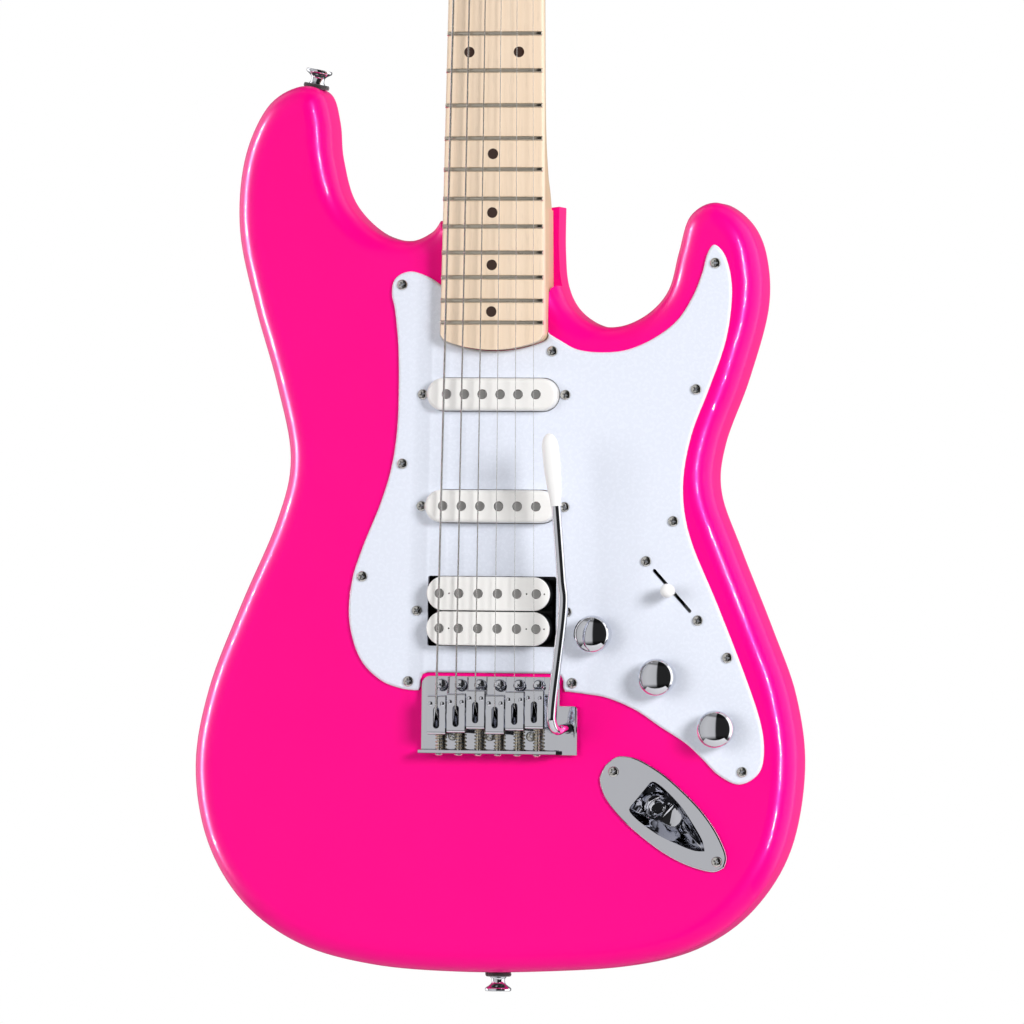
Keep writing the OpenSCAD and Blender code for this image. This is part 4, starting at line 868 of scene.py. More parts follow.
def make_board():
    across = [(0.0, 0.8), (0.25, 0.3), (0.8, 0.0)]
    inner = [-0.96, -0.93] + [k / 10 for k in range(-9, 10)] + [0.93, 0.96]
    columns = [(-1, e, d) for e, d in across] + [(u, 0, 0) for u in inner]
    columns += [(1, e, d) for e, d in reversed(across)]
    arc_y = HEEL_Y + HEEL_ARC_R
    rows = [k / 40 for k in range(41)]
    top, low = [], []
    for row in rows:
        up, down = [], []
        for u, edge, drop in columns:
            end = NUT_Y - 3.0
            x_heel = abs(u) * neck_w(HEEL_Y) / 2 - edge
            y_heel = arc_y - math.sqrt(HEEL_ARC_R ** 2 - x_heel ** 2)
            past = max(x_heel - neck_w(HEEL_Y) / 2 + HEEL_CORNER_R, 0.0)
            y_heel += HEEL_CORNER_R - math.sqrt(HEEL_CORNER_R ** 2 - past ** 2)
            y = y_heel + (end - y_heel) * row
            x = u * neck_w(y) / 2 - math.copysign(edge, u) * (abs(u) == 1)
            up.append((x, y, crown_z(x) - drop))
            down.append((x, y, WOOD_TOP + 0.01))
        top.append(up)
        low.append(down)
    show("fretboard_crowned", slab(top, low), BOARD_WOOD, "guitar", ["fretboard"], 40)
    wires = []
    for n in range(1, FRETS + 1):
        half = neck_w(fret_y(n)) / 2
        stations = [-half, -half + 0.3, -half + 0.7] + [half * k / 8 for k in range(-7, 8)]
        stations += [half - 0.7, half - 0.3, half]
        rings = []
        for x in stations:
            edge = half - abs(x)
            tall = FRET_UP * min(1.0, 0.25 + edge / 0.7 * 0.75)
            base = crown_z(x)
            ring = [Vector((x, fret_y(n) - FRET_W / 2 * math.cos(a), base + tall * math.sin(a)))
                    for a in (math.pi * k / 12 for k in range(13))]
            ring += [Vector((x, fret_y(n) + FRET_W / 2, base - 0.3)), Vector((x, fret_y(n) - FRET_W / 2, base - 0.3))]
            rings.append(ring)
        wires.append(loft(rings))
    show("fret_crowns", joined(*wires), FRET_STEEL_WOOD_REFLECTION, "guitar", ["fret_wires"], 50)
    dots = []
    places = [(0, n) for n in (3, 5, 7, 9, 15, 17, 19, 21)] + [(-13.3, 12), (13.3, 12)]
    for x, n in places:
        y = (fret_y(n - 1) + fret_y(n)) / 2
        rings = [[Vector((x + p.x, y + p.y, z)) for p in circle(2.8, 40)] for z in (BOARD_UP - 2, BOARD_UP - 1)]
        rings += [[Vector((x + p.x, y + p.y, crown_z(x + p.x, up))) for p in circle(r, 40)]
                  for r, up in ((2.8, 0.0), (2.75, 0.03), (1.4, 0.04), (0.01, 0.04))]
        dots.append(loft(rings))
    show("dot_inlays", joined(*dots), INLAY, "guitar", ["position_dots"], 30)


# ---- Strings and tuners ----
def make_strings():
    groups = {"wound_strings": ([0, 1, 2], WOUND_STRING), "plain_strings": ([3, 4, 5], PLAIN_STRING)}
    head_string_z = HEAD_TOP + 3.4
    for name, (which, material) in groups.items():
        runs = []
        for i in which:
            d = STRING_D[i]
            post = post_frame(i).translation
            saddle = Vector((bridge_x(i), SADDLE_Y[i] - 4.4, SADDLE_UP))
            nut_point = Vector((nut_x(i), NUT_Y + 0.75, NUT_UP))
            # Runs straight over the pickups, in short steps where it joins the moving bridge
            path = [Vector((bridge_x(i), -15, PLATE_TOP + 1.5)), saddle + Vector((0, -0.7, -0.45)), saddle]
            path += [saddle.lerp(nut_point, k / 400) for k in range(3, 30, 2)]
            path += [saddle.lerp(nut_point, k / 10) for k in range(1, 10)] + [nut_point]
            path.append(Vector((post.x + 3.0 + d / 2 + 0.35, post.y, head_string_z)))
            runs.append(tube(path, d / 2, 10))
        piece = show(name, joined(*runs), material, None, ["strings"], 60)
        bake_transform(piece)


def make_tuners():
    for i in range(6):
        here = post_frame(i)
        low = HEAD_TOP - HEAD_T
        profile = [(0, low - 6.4), (4, low - 6.4), (4, low - 3), (3, low - 3), (3, HEAD_TOP + 4.2),
                   (2.75, HEAD_TOP + 5), (2.75, HEAD_TOP + 5.8), (3.1, HEAD_TOP + 6.7), (3.65, HEAD_TOP + 7.2),
                   (3.7, HEAD_TOP + 8.1), (3.4, HEAD_TOP + 8.45), (2.0, HEAD_TOP + 8.5), (1.3, HEAD_TOP + 8.2),
                   (1.1, HEAD_TOP + 7.2), (0, HEAD_TOP + 7.2)]
        wire = STRING_D[i]
        winding = moved(coil(3.0 + wire / 2, wire * 1.1, 3.6, wire, 20, 8), shift(0, 0, HEAD_TOP + 2.2))
        name = "tuner_post_%d" % (i + 1)
        show(name + "_turned", moved(lathe(profile), here), CHROME, name, [name])
        show(name + "_winding", moved(winding, here), PLAIN_STRING, name, (), 60)
        at_button = here @ Matrix.Rotation(math.atan2(POST_STEP[1], POST_STEP[0]) + math.pi / 2, 4, "Z")
        at_button = at_button @ shift(0, -6, low - 4.7)
        shaft = lathe([(0, -5.5), (1.6, -5.5), (1.6, 5.3), (2.2, 5.4), (2.2, 12), (2.6, 12.4), (2.6, 14.4),
                       (2.2, 14.8), (2.2, 20), (0, 20)], 32)
        rings = []
        for k in range(17):
            t = -math.cos(math.pi * k / 16)
            round_off = max(1 - abs(t) ** 3.2, 0.004) ** 0.5
            thick = (5.0 + 3.0 * min(1.0, (t * 8.5 / 5.5) ** 2)) * round_off
            rings.append([Vector((24.0 + p.x, 8.5 * t, p.y)) for p in oval(13 * (0.55 + 0.45 * round_off), thick, 2.6, 28)])
        head = loft(rings)
        name = "tuner_button_%d" % (i + 1)
        solid = joined(moved(shaft, X_UP), head)
        show(name + "_cast", moved(solid, at_button), CHROME, name, [name], 50)
    dress("tuner_housings", CHROME, 0.7)
    dress("tuner_bushings", CHROME, 0.35)
    dress("string_trees", CHROME, 0.3)
    dress("truss_rod", NICKEL, 0.2)
    dress("nut", BONE, 0.25)


# ---- Screws ----
def make_screws():
    small = cross_screw(5.6, 1.6, 2.8, 13)
    places = [shift(x, y, GUARD_T) for x, y in GUARD_SCREWS]
    places += [ON_JACK_PLATE @ shift(s * 36, 0, 1.6) for s in (-1, 1)]
    places += [shift(x, y, BACK_Z - 2) @ BACKWARDS for y in (-30, 75, 119) for x in (-42.5, 42.5)]
    turns = [spin("Z", 37.0 * k) for k in range(len(places))]
    solids = [moved(small, p @ t) for p, t in zip(places, turns)]
    switch_screw = cross_screw(5.6, 1.6, 2.9, 6)
    solids += [moved(switch_screw, ON_SWITCH @ shift(s * 20.65, 0, GUARD_T)) for s in (-1, 1)]
    show("plate_screws_cross", joined(*solids), NICKEL, "guitar", ["plate_screws"])
    height = cross_screw(5.4, 1.6, 3.0, 19)
    spots = [(s * 38.4, y) for y in (NECK_PICKUP_Y, MIDDLE_PICKUP_Y) for s in (-1, 1)]
    spots += [(s * 40.3, HUMBUCKER_Y) for s in (-1, 1)]
    show("pickup_height_screws", copies(height, [shift(x, y, GUARD_T) @ spin("Z", 50 * k)
                                                 for k, (x, y) in enumerate(spots)]),
         NICKEL, "guitar", ["pickup_screws"])
    spring = coil(2.1, 1.9, 6.6, 0.6, 12, 6)
    show("pickup_height_springs", copies(spring, [shift(x, y, -11.6) for x, y in spots]),
         NICKEL, "guitar", ["pickup_springs"], 60)
    big = cross_screw(8, 2.0, 4, 38)
    solids = [moved(big, shift(x, POCKET_Y - 38 + y, BACK_Z - 1.5) @ BACKWARDS @ spin("Z", 31 * (x + y)))
              for y in (-25.5, 25.5) for x in (-19, 19)]
    claw = cross_screw(8, 2.5, 4, 44)
    solids += [moved(claw, shift(x, CLAW_Y - 2.1, SPRING_Z) @ spin("X", 90)) for x in (-11, 11)]
    strap = cross_screw(6.4, 1.9, 4, 31)
    solids += [moved(strap, here @ shift(0, 0, WASHER_T + 4.6)) for here in (ON_TAIL, ON_HORN)]
    show("wood_screws_cross", joined(*solids), NICKEL, "guitar", ["wood_screws"])


# ---- Pickups ----
def pole(up):
    return lathe([(0, -14), (2.3, -14), (2.3, up), (2.05, up + 0.25), (1.5, up + 0.28), (0, up + 0.2)], 32)


def make_pickups():
    poles, cover_names = [], (("neck_pickup", NECK_PICKUP_Y, 8.6, 9.6), ("middle_pickup", MIDDLE_PICKUP_Y, 10.2, 10.0))
    for name, y, up, pitch in cover_names:
        rows = [((k - 2.5) * pitch, y) for k in range(6)]
        cover = show(name + "_cap", plate(stadium(COVER_L, COVER_W, 28, (0, y)), [], top_edge(-12, up, 2.2, 7)),
                     WHITE, "guitar", [name + "_cover"], 30)
        carve(cover, [prism(stadium(COVER_L - 2.8, COVER_W - 2.8, 24, (0, y)), -14, up - 1.8)], None, 30)
        # The walls of the pole holes take the black cavity material: painted shade round the poles.
        carve(cover, [joined(*[prism(circle(2.55, 32, p), up - 4, up + 2) for p in rows])], CAVITY_AND_HOLE_SHADE, 30)
        poles += [moved(pole(up), shift(*p)) for p in rows]
    show("single_coil_magnets", joined(*poles), POLE_STEEL, "guitar", ["single_coil_poles"])
    dress("single_coil_bobbins", COPPER, 0.3)
    caps, poles, marks = [], [], []
    for y in (HUMBUCKER_Y - BOBBIN_PITCH / 2, HUMBUCKER_Y + BOBBIN_PITCH / 2):
        shape = stadium(BOBBIN_L, BOBBIN_W, 28, (0, y))
        caps.append(plate(shape, [], soft_edge(HUMBUCKER_UP - 2, HUMBUCKER_UP, 0.7, 4)))
        caps.append(plate(shape, [], soft_edge(-8, -6.5, 0.4)))
        caps.append(prism(stadium(60, 7, 16, (0, y)), -7, HUMBUCKER_UP - 1.5))
        xs = [(k - 2.5) * 10.4 for k in range(6)]
        marks += [prism(circle(2.5, 32, (x, y)), HUMBUCKER_UP - 4, 14) for x in xs]
        marks += [prism(circle(0.42, 16, (x, y)), HUMBUCKER_UP - 1.2, 14) for x in (-20.8, 20.8, 30.3)]
        poles += [moved(pole(HUMBUCKER_UP), shift(x, y)) for x in xs]
    bobbins = show("humbucker_flanges", joined(*caps), WHITE, "guitar", ["humbucker_bobbins"], 30)
    # The walls of the pole holes and the small holes take the black cavity material: painted shade in the holes.
    carve(bobbins, [joined(*marks)], CAVITY_AND_HOLE_SHADE, 30)
    show("humbucker_magnets", joined(*poles), POLE_STEEL, "guitar", ["humbucker_poles"])
    dress("humbucker_coils", BLACK, 0.4)
    dress("humbucker_baseplate", BLACK, 0.3)


# ---- Bridge ----
def make_bridge():
    def section(front, lip):
        arc = [math.radians(a) for a in (0, 22, 45, 68, 90)]
        pts = [(front - 0.45, PLATE_GAP)]
        pts += [(-29.5 - 2.5 * math.sin(a), PLATE_GAP + 2.5 - 2.5 * math.cos(a)) for a in arc]
        pts += [(PLATE_REAR, PLATE_TOP + LIP_UP - 0.6), (PLATE_REAR + 0.2, PLATE_TOP + LIP_UP - 0.15),
                (PLATE_REAR + 0.6, PLATE_TOP + LIP_UP), (PLATE_REAR + 1.4, PLATE_TOP + LIP_UP),
                (PLATE_REAR + 1.85, PLATE_TOP + LIP_UP - 0.2), (PLATE_REAR + 2, PLATE_TOP + LIP_UP - 0.6)]
        pts += [(-29.2 - 0.8 * math.cos(a), PLATE_TOP + 0.8 - 0.8 * math.sin(a)) for a in arc]
        pts += [(front - 0.45, PLATE_TOP), (front - 0.12, PLATE_TOP - 0.14), (front, PLATE_TOP - 0.5),
                (front, PLATE_GAP + 0.5), (front - 0.12, PLATE_GAP + 0.14)]
        return pts if lip else [(y, min(z, PLATE_TOP)) for y, z in pts]

    stations = []
    for k in range(9):
        a = math.radians(90 * k / 8)
        stations.append((-PLATE_HALF + 4.5 - 4.5 * math.cos(a), PLATE_FRONT - 4.5 + 4.5 * math.sin(a), True))
    stations += [(-x, front, True) for x, front, lip in reversed(stations)]
    stations += [(PLATE_HALF, PLATE_EAR_Y, False), (PLATE_EAR - 1.5, PLATE_EAR_Y, False)]
    stations += [(PLATE_EAR - 1.5 + 1.5 * math.sin(math.radians(a)),
                  PLATE_EAR_Y - 1.5 + 1.5 * math.cos(math.radians(a)), False) for a in (30, 60, 90)]
    rings = [[Vector((x, y, z)) for y, z in section(front, lip)] for x, front, lip in stations]
    base = show("bridge_base", loft(rings), PLATE_CHROME, "tremolo_bridge", ["bridge_plate"], 30)
    holes = [prism(circle(2.9, 32, ARM_XY), -2, 6)]
    holes += [prism(circle(2.0, 24, (bridge_x(i), -17)), -2, 6) for i in range(6)]
    carve(base, [joined(*holes)], None, 30)

    half = BRIDGE_SPREAD / 10 - 0.1
    saddles, slots, screws, springs = [], [], [], []
    for i in range(6):
        front = SADDLE_Y[i] + 1.4
        rear = front - SADDLE_L
        top = saddle_top(i)
        low = top - SADDLE_T
        outline = [(rear, PLATE_TOP + 1.0)]
        outline += [(rear + 1.8 - 1.8 * math.cos(math.radians(a)), top - 1.8 + 1.8 * math.sin(math.radians(a)))
                    for a in (0, 22, 45, 68, 90)]
        outline += [(front + 1.6 * math.sin(math.radians(a)), low + 1.6 * math.cos(math.radians(a)))
                    for a in range(0, 181, 15)]
        outline += [(front - 0.7, low - 1.3), (front - 1.0, low)]
        outline += [(rear + 2.4 - 0.8 * math.sin(math.radians(a)), low - 0.8 + 0.8 * math.cos(math.radians(a)))
                    for a in (0, 45, 90)]
        outline.append((rear + SADDLE_T, PLATE_TOP + 1.0))
        shape = plate(turned([Vector(p) for p in outline]), [], soft_edge(-half, half, 0.35, 3))
        saddles.append(moved(shape, shift(bridge_x(i)) @ ALONG_X))
        centre_y = SADDLE_Y[i] - 8.8
        slots.append(moved(prism(stadium(11.3, 3.4, 14), 4, 20), shift(bridge_x(i), centre_y) @ spin("Z", 90)))
        for s in (-1, 1):
            screw = lathe([(0, PLATE_TOP), (0.9, PLATE_TOP), (1.5, PLATE_TOP + 0.8)]
                          + [(1.5 * math.cos(math.radians(a)), top - 0.7 + 1.2 * math.sin(math.radians(a)))
                             for a in range(0, 91, 15)], 24)
            screws.append(moved(screw, shift(bridge_x(i) + s * 3.2, SADDLE_Y[i] - 1.5)))
        gap = rear - PLATE_REAR - 2
        turns = max(4.0, gap / 1.55)
        springs.append(moved(coil(1.85, (gap - 2.2) / (turns - 2), turns, 0.75, 16, 8, 0.5),
                             shift(bridge_x(i), PLATE_REAR + 2, INTONATION_Z) @ Y_UP))
    bent = show("bridge_saddles_bent", joined(*saddles), CHROME, "tremolo_bridge", ["bridge_saddles"], 30)
    carve(bent, [joined(*slots)], None, 30)
    show("saddle_screws_socket", joined(*screws), CHROME, "tremolo_bridge", ["saddle_height_screws"])
    show("intonation_coils", joined(*springs), GOLD_NICKEL, "tremolo_bridge", ["intonation_springs"],
         60)
    fixings = []
    for i in range(6):
        length = SADDLE_Y[i] + 1.4 - SADDLE_L - PLATE_REAR + 3
        fixings.append(moved(cross_screw(4.6, 1.3, 2.6, length),
                             shift(bridge_x(i), PLATE_REAR, INTONATION_Z) @ spin("X", 90) @ spin("Z", 40 * i)))
    sunk = cross_screw(5.4, 0.8, 3.0, 13)
    fixings += [moved(sunk, shift(x, -22.5, PLATE_TOP)) for x in (-20, 0, 22)]
    show("bridge_screws_cross", joined(*fixings), NICKEL, "tremolo_bridge", ["bridge_screws"])
    pivot = cross_screw(6.4, 2.1, 3.2, 24, 0.30)
    show("pivot_screws_dome", copies(pivot, [shift(bridge_x(i), PIVOT_Y, PLATE_TOP + 0.9) @ spin("Z", 25 * i)
                                             for i in range(6)]),
         CHROME, "guitar", ["bridge_pivot_screws"])
    dress("sustain_block", CAST, 0.6)


def make_arm():
    path = curve(ARM_ROUTE, 10)
    tip_start = Vector(ARM_ROUTE[-1])
    along = Vector(ARM_TIP_END) - tip_start
    path += [tip_start + along * t for t in (0.02, 0.3, 0.6)]
    radii = [ARM_D / 2] * (len(path) - 2) + [1.5, 1.5]
    show("tremolo_arm_bent", tube(path, radii, 24), CHROME, "tremolo_arm", ["tremolo_arm"], 50)
    length = along.length
    profile = [(0, 0.0), (2.6, 0.0), (2.85, 0.2)]
    profile += [(2.85 + 1.55 * math.sin(math.radians(15 * k)), 2 + 3.5 * k) for k in range(7)]
    profile += [(4.4 * math.cos(math.radians(a)), length - 8 + 8 * math.sin(math.radians(a)))
                for a in range(10, 91, 10)]
    place = Matrix.Translation(tip_start) @ along.to_track_quat("Z", "Y").to_matrix().to_4x4()
    show("tremolo_arm_tip", moved(lathe(profile, 40), place), TIP_WHITE, "tremolo_arm", ["arm_tip"])


def make_springs():
    coils = []
    for x in SPRING_X:
        body = coil(3.65, 1.34, 72, 1.2, 14, 8)
        body = moved(body, shift(x, -8, SPRING_Z) @ Y_UP)
        first = Vector((x + 3.65, -8, SPRING_Z))
        start_hook = tube([first, Vector((x + 2.4, -9.3, SPRING_Z + 0.6)), Vector((x + 0.6, -10.2, SPRING_Z)),
                           Vector((x, -13.5, SPRING_Z)), Vector((x, -18, SPRING_Z))], 0.6, 8)
        end_hook = tube([Vector((x + 3.2, 88.2, SPRING_Z)), Vector((x + 1.2, 90.5, SPRING_Z)),
                         Vector((x, 92.5, SPRING_Z)), Vector((x, 96.4, SPRING_Z + 1.2)),
                         Vector((x, 96.2, SPRING_Z + 3.6)), Vector((x, 93.8, SPRING_Z + 4))], 0.6, 8)
        coils += [body, start_hook, end_hook]
    piece = show("tremolo_spring_coils", joined(*coils), NICKEL, None, ["tremolo_springs"], 60)
    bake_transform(piece)
    dress("spring_claw", NICKEL, 0.3)


def make_back():
    centre = (0, 41)
    holes = [circle(4, 32, (bridge_x(i), -17)) for i in range(6)]
    show("back_cover_sheet", plate(rounded(94, 164, 6, 8, centre), holes, soft_edge(BACK_Z - 2, BACK_Z - 0.02, 0.5)),
         WHITE, "guitar", ["back_cover"], 30)
    show("neck_plate_sheet", plate(rounded(51, 64, 6, 8, (0, POCKET_Y - 38)), [],
                                   soft_edge(BACK_Z - 1.5, BACK_Z - 0.02, 0.45)),
         PLATE_CHROME, "guitar", ["neck_plate"], 30)


# ---- Controls and jack ----
def make_controls():
    profile = [(0, -6), (3, -6), (3, 5.2), (7, 5.2), (7, 3.2), (8.5, 3.2), (8.65, 3.35), (9.1, 5), (9.4, 7),
               (9.65, 9), (9.77, 10.5), (KNOB_R, 11.5)]
    profile += [(KNOB_R * math.cos(math.radians(a)), 11.5 + 5.5 * math.sin(math.radians(a)))
                for a in range(6, 91, 6)]
    for name, xy in KNOBS.items():
        show(name + "_dome", moved(lathe(profile, 72), shift(*xy)), CHROME, name, [name], 40)
    dress("potentiometers", NICKEL, 0.2)
    dress("selector_switch", NICKEL, 0.2)
    dress("switch_lever", NICKEL, 0.25)
    tip = [(0, 8), (3.0, 8), (3.2, 8.3), (3.4, 10), (3.65, 12), (3.7, 13)]
    tip += [(3.7 * math.cos(math.radians(a)), 13 + 4.2 * math.sin(math.radians(a))) for a in range(10, 91, 10)]
    show("switch_tip_moulded", moved(lathe(tip, 40), ON_SWITCH), TIP_WHITE, "switch_lever", ["switch_tip"])


def make_jack():
    half = curve(JACK_HALF, 5)
    outline = turned(mirrored(half))
    top_half = resampled(curve(CUP_HALF, 6), 25)
    low_half = resampled([Vector(p) for p in ((-3.5, 8), (1.5, 7.4), (6, 6), (8.6, 3.6), (9, 0))], 25)

    def cup(gap, levels):
        rings = []
        for depth, shrink in levels:
            z = 1.2 - (16.2 - gap) * depth
            ring = []
            for a, b in zip(top_half, low_half):
                p = a.lerp(b, min(depth * 1.03, 1.0))
                ring.append(p)
            wall_x = JACK_WALL_TOP[0] + (JACK_WALL_LOW[0] - JACK_WALL_TOP[0]) * (-z / 15.0)
            ring = [Vector((wall_x + (p.x - ring[0].x) * shrink, p.y * shrink)) for p in ring]
            loop = turned(ring + [Vector((p.x, -p.y)) for p in reversed(ring[:-1])])
            loop = inset(loop, gap) if gap else loop
            rings.append([Vector((p.x, p.y, z)) for p in loop])
        return rings

    outer = loft(cup(0.0, [(0.06, 1.0), (0.3, 1.0), (0.6, 1.0), (0.85, 1.0), (0.96, 0.96), (1.0, 0.88)]))
    inner = cup(1.2, [(0.0, 1.0), (0.3, 1.0), (0.6, 1.0), (0.85, 1.0), (0.95, 0.96), (1.0, 0.86)])
    above = [[Vector((p.x, p.y, 4.0)) for p in inner[0]]]
    inner = loft(above + inner)
    dish = plate(outline, [], [(0.0, 0.03), (0.0, 1.0), (0.25, 1.4), (0.8, 1.6)])
    jack = show("jack_plate_dished", moved(dish, ON_JACK_PLATE), PLATE_CHROME, "guitar", ["jack_plate"], 50)
    carve(jack, [moved(outer, ON_JACK_PLATE)], None, 50, "UNION")
    carve(jack, [moved(inner, ON_JACK_PLATE)], None, 50)
    rim = jack.modifiers.new("soft edges", "BEVEL")
    rim.width = 0.3 * MM
    rim.segments = 3
    rim.limit_method = "ANGLE"
    rim.angle_limit = math.radians(50)
    barrel = lathe([(0, -20), (7.2, -20), (7.5, -19.7), (7.5, -2.4), (4.65, -2.2)]
                   + [(4.65 - 0.18 * (k % 2), -2 + 0.36 * k) for k in range(19)]
                   + [(4.3, 5.1), (3.7, 5.2), (3.3, 4.9), (3.3, -18.5), (0, -18.5)])
    lining = lathe([(0, -18.4), (3.28, -18.4), (3.28, 4.6), (3.0, 4.6), (3.0, -18), (0, -18)])
    washer = hollow([(4.7, 2.2), (6.2, 2.2), (6.3, 2.3), (6.3, 2.7), (6.2, 2.8), (4.7, 2.8)])
    hexagon = circle(6.35, 6)
    nut = plate(hexagon, [circle(4.68, 32)], soft_edge(2.82, 4.4, 0.25))
    show("output_jack_turned", moved(joined(barrel, washer, nut), ON_JACK), CHROME, "guitar", ["output_jack"])
    show("output_jack_bore", moved(lining, ON_JACK), BLACK, "guitar", ["output_jack"])


def make_straps():
    profile = [(0, 0), (4.4, 0), (4.15, 0.4), (3.65, 1.0), (3.5, 2.0), (3.6, 3.1), (4.1, 4.0), (5.2, 4.9),
               (6.3, 5.6), (6.8, 6.1), (6.9, 6.6), (6.85, 7.2), (6.6, 7.5), (6.2, 7.6), (3.8, 7.6), (3.5, 7.35),
               (3.4, 4.6), (0, 4.6)]
    button = lathe(profile, 56)
    show("strap_buttons_turned", copies(button, [ON_TAIL @ shift(0, 0, WASHER_T), ON_HORN @ shift(0, 0, WASHER_T)]),
         CHROME, "guitar", ["strap_buttons"])
    rings = []
    for level, (swell, z) in enumerate(((6.2, 0.0), (6.7, 0.3), (6.8, 1.1), (6.65, 2.0), (6.2, WASHER_T - 0.05))):
        rings.append([Vector((math.cos(a), math.sin(a), 0)) * (swell + 0.09 * math.sin(7 * a + level)
                                                               + 0.05 * math.sin(17 * a + 2.1 * level))
                      + Vector((0, 0, z)) for a in (2 * math.pi * k / 72 for k in range(72))])
    show("strap_washers_felt", copies(loft(rings), [ON_TAIL, ON_HORN]), FELT, "guitar", ["strap_washers"],
         50)


# ---- Studio ----
CAMERA_TARGET = Vector((0.0097, -0.020, 0.25024))
CAMERA_YAW, CAMERA_PITCH, CAMERA_ROLL = math.radians(14.0777), math.radians(0.805), math.radians(0.62)
CAMERA_AWAY, CAMERA_LENS = 4.9896, 336.74


def make_camera():
    forward = Vector((-math.sin(CAMERA_YAW) * math.cos(CAMERA_PITCH), math.cos(CAMERA_YAW) * math.cos(CAMERA_PITCH),
                      math.sin(CAMERA_PITCH)))
    level = Vector((math.cos(CAMERA_YAW), math.sin(CAMERA_YAW), 0))
    upright = level.cross(forward)
    right = level * math.cos(CAMERA_ROLL) + upright * math.sin(CAMERA_ROLL)
    up = upright * math.cos(CAMERA_ROLL) - level * math.sin(CAMERA_ROLL)
    data = bpy.data.cameras.new("camera")
    data.lens = CAMERA_LENS
    data.sensor_width = 36.0
    data.clip_end = 60.0
    camera = bpy.data.objects.new("camera", data)
    bpy.context.scene.collection.objects.link(camera)
    spot = CAMERA_TARGET - forward * CAMERA_AWAY
    camera.matrix_world = Matrix([(*row, at) for row, at in zip(zip(right, up, -forward), spot)] + [(0, 0, 0, 1)])
    bpy.context.scene.camera = camera


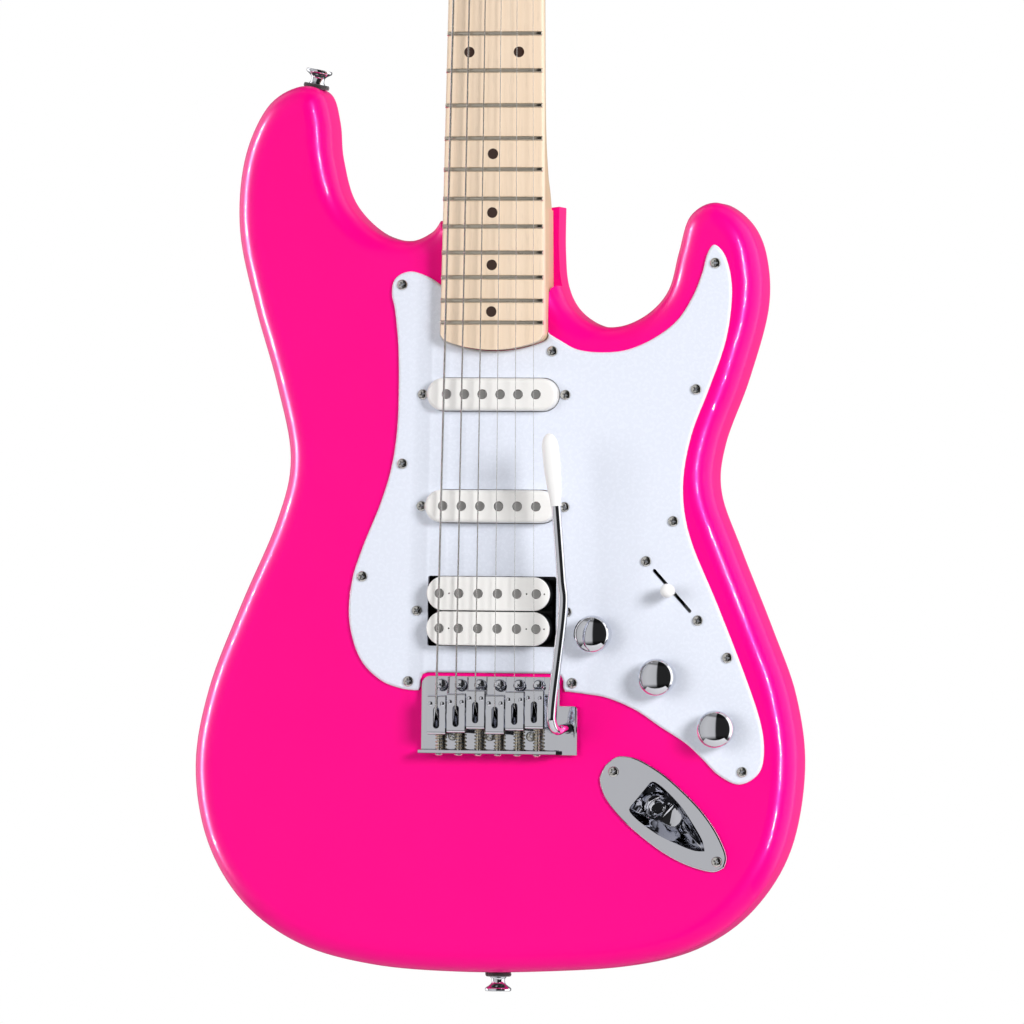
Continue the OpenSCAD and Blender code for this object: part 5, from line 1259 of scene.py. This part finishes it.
def make_world():
    """A studio of tall panels round the object, seen only in its reflections and as soft light."""
    world = bpy.data.worlds.new("studio")
    bpy.context.scene.world = world
    world.use_nodes = True
    tree = world.node_tree
    tree.nodes.clear()

    def add(kind, **settings):
        node = tree.nodes.new(kind)
        for key, value in settings.items():
            setattr(node, key, value)
        return node

    def ramp(fac, stops):
        node = add("ShaderNodeValToRGB")
        while len(node.color_ramp.elements) < len(stops):
            node.color_ramp.elements.new(0.5)
        for element, (at, grey) in zip(node.color_ramp.elements, stops):
            element.position = at
            element.color = (grey, grey, grey, 1.0)
        tree.links.new(fac, node.inputs["Fac"])
        return node.outputs["Color"]

    def maths(operation, a, b):
        node = add("ShaderNodeMath", operation=operation)
        for socket, value in zip(node.inputs, (a, b)):
            if isinstance(value, float):
                socket.default_value = value
            else:
                tree.links.new(value, socket)
        return node.outputs[0]

    direction = add("ShaderNodeTexCoord").outputs["Generated"]
    parts = add("ShaderNodeSeparateXYZ")
    tree.links.new(direction, parts.inputs[0])
    towards = maths("MULTIPLY", parts.outputs["Y"], -1.0)
    azimuth = maths("ARCTAN2", parts.outputs["X"], towards)
    turn = maths("ADD", maths("DIVIDE", azimuth, 2 * math.pi), 0.5)
    panels = [(-180, 0.10), (-134, 0.10), (-130, 0.85), (-90, 0.85), (-87, 0.012), (-82, 0.012), (-78, 0.28),
              (-40, 0.34), (-6, 0.30), (-1, 0.012), (72, 0.012), (78, 0.9), (140, 0.9), (146, 0.10), (180, 0.10)]
    around = ramp(turn, [((az + 180) / 360, grey) for az, grey in panels])
    height = maths("ADD", maths("MULTIPLY", parts.outputs["Z"], 0.5), 0.5)
    belt = ramp(height, [(0.0, 0.05), (0.20, 0.08), (0.30, 1.0), (0.86, 1.0), (0.91, 0.30), (1.0, 0.6)])
    blend = add("ShaderNodeMix", data_type="RGBA", blend_type="MULTIPLY")
    blend.inputs[0].default_value = 1.0
    tree.links.new(around, blend.inputs[6])
    tree.links.new(belt, blend.inputs[7])
    studio = add("ShaderNodeBackground")
    studio.inputs["Strength"].default_value = 2.0
    tree.links.new(blend.outputs[2], studio.inputs["Color"])
    white = add("ShaderNodeBackground")
    white.inputs["Color"].default_value = (1, 1, 1, 1)
    white.inputs["Strength"].default_value = 1.0
    seen = add("ShaderNodeMixShader")
    tree.links.new(add("ShaderNodeLightPath").outputs["Is Camera Ray"], seen.inputs[0])
    tree.links.new(studio.outputs[0], seen.inputs[1])
    tree.links.new(white.outputs[0], seen.inputs[2])
    tree.links.new(seen.outputs[0], add("ShaderNodeOutputWorld").inputs["Surface"])


def area_light(name, place, aim, width, height, power, in_gloss, only=None):
    data = bpy.data.lights.new(name, "AREA")
    data.shape = "RECTANGLE"
    data.size = width
    data.size_y = height
    data.energy = power
    light = bpy.data.objects.new(name, data)
    bpy.context.scene.collection.objects.link(light)
    light.matrix_world = (Matrix.Translation(place)
                          @ (Vector(aim) - Vector(place)).to_track_quat("-Z", "Y").to_matrix().to_4x4())
    light.visible_glossy = in_gloss
    light.visible_diffuse = not in_gloss
    light.visible_camera = False
    if only:
        light.light_linking.receiver_collection = only


def make_studio():
    make_world()
    area_light("key", (2.2, -2.0, 0.95), (0, 0, 0.25), 0.9, 0.9, 76.0, False)
    area_light("fill", (-1.8, -2.6, 0.6), (0, 0, 0.25), 1.6, 1.6, 27.0, False)
    painted = bpy.data.collections.new("painted")
    painted.objects.link(PIECES["body_shell"])
    for name, azimuth, width in (("strip_left", -78.0, 0.05), ("strip_right", 42.0, 0.05)):
        turn = math.radians(azimuth)
        place = (1.9 * math.sin(turn), -1.9 * math.cos(turn), 0.35)
        area_light(name, place, (0, 0, 0.3), width, 1.8, 240.0, True, painted)
    outline = [Vector((x, y)) for x, y in ((-800, -800), (800, -800), (800, 800), (-800, 800))]
    low = plate(outline, [], [(0.0, -10.0), (0.0, 0.0)])
    floor = show("floor", low, floor_paper(), None,
                 place=Matrix.Translation((0, 0, -0.6)) @ Matrix.Scale(MM, 4))
    PIECES.pop("floor")
    bpy.context.scene.view_settings.view_transform = "Standard"


make_camera()
make_body()
make_guard()
make_neck()
make_board()
make_strings()
make_tuners()
make_screws()
make_pickups()
make_bridge()
make_arm()
make_springs()
make_back()
make_controls()
make_jack()
make_straps()
make_studio()
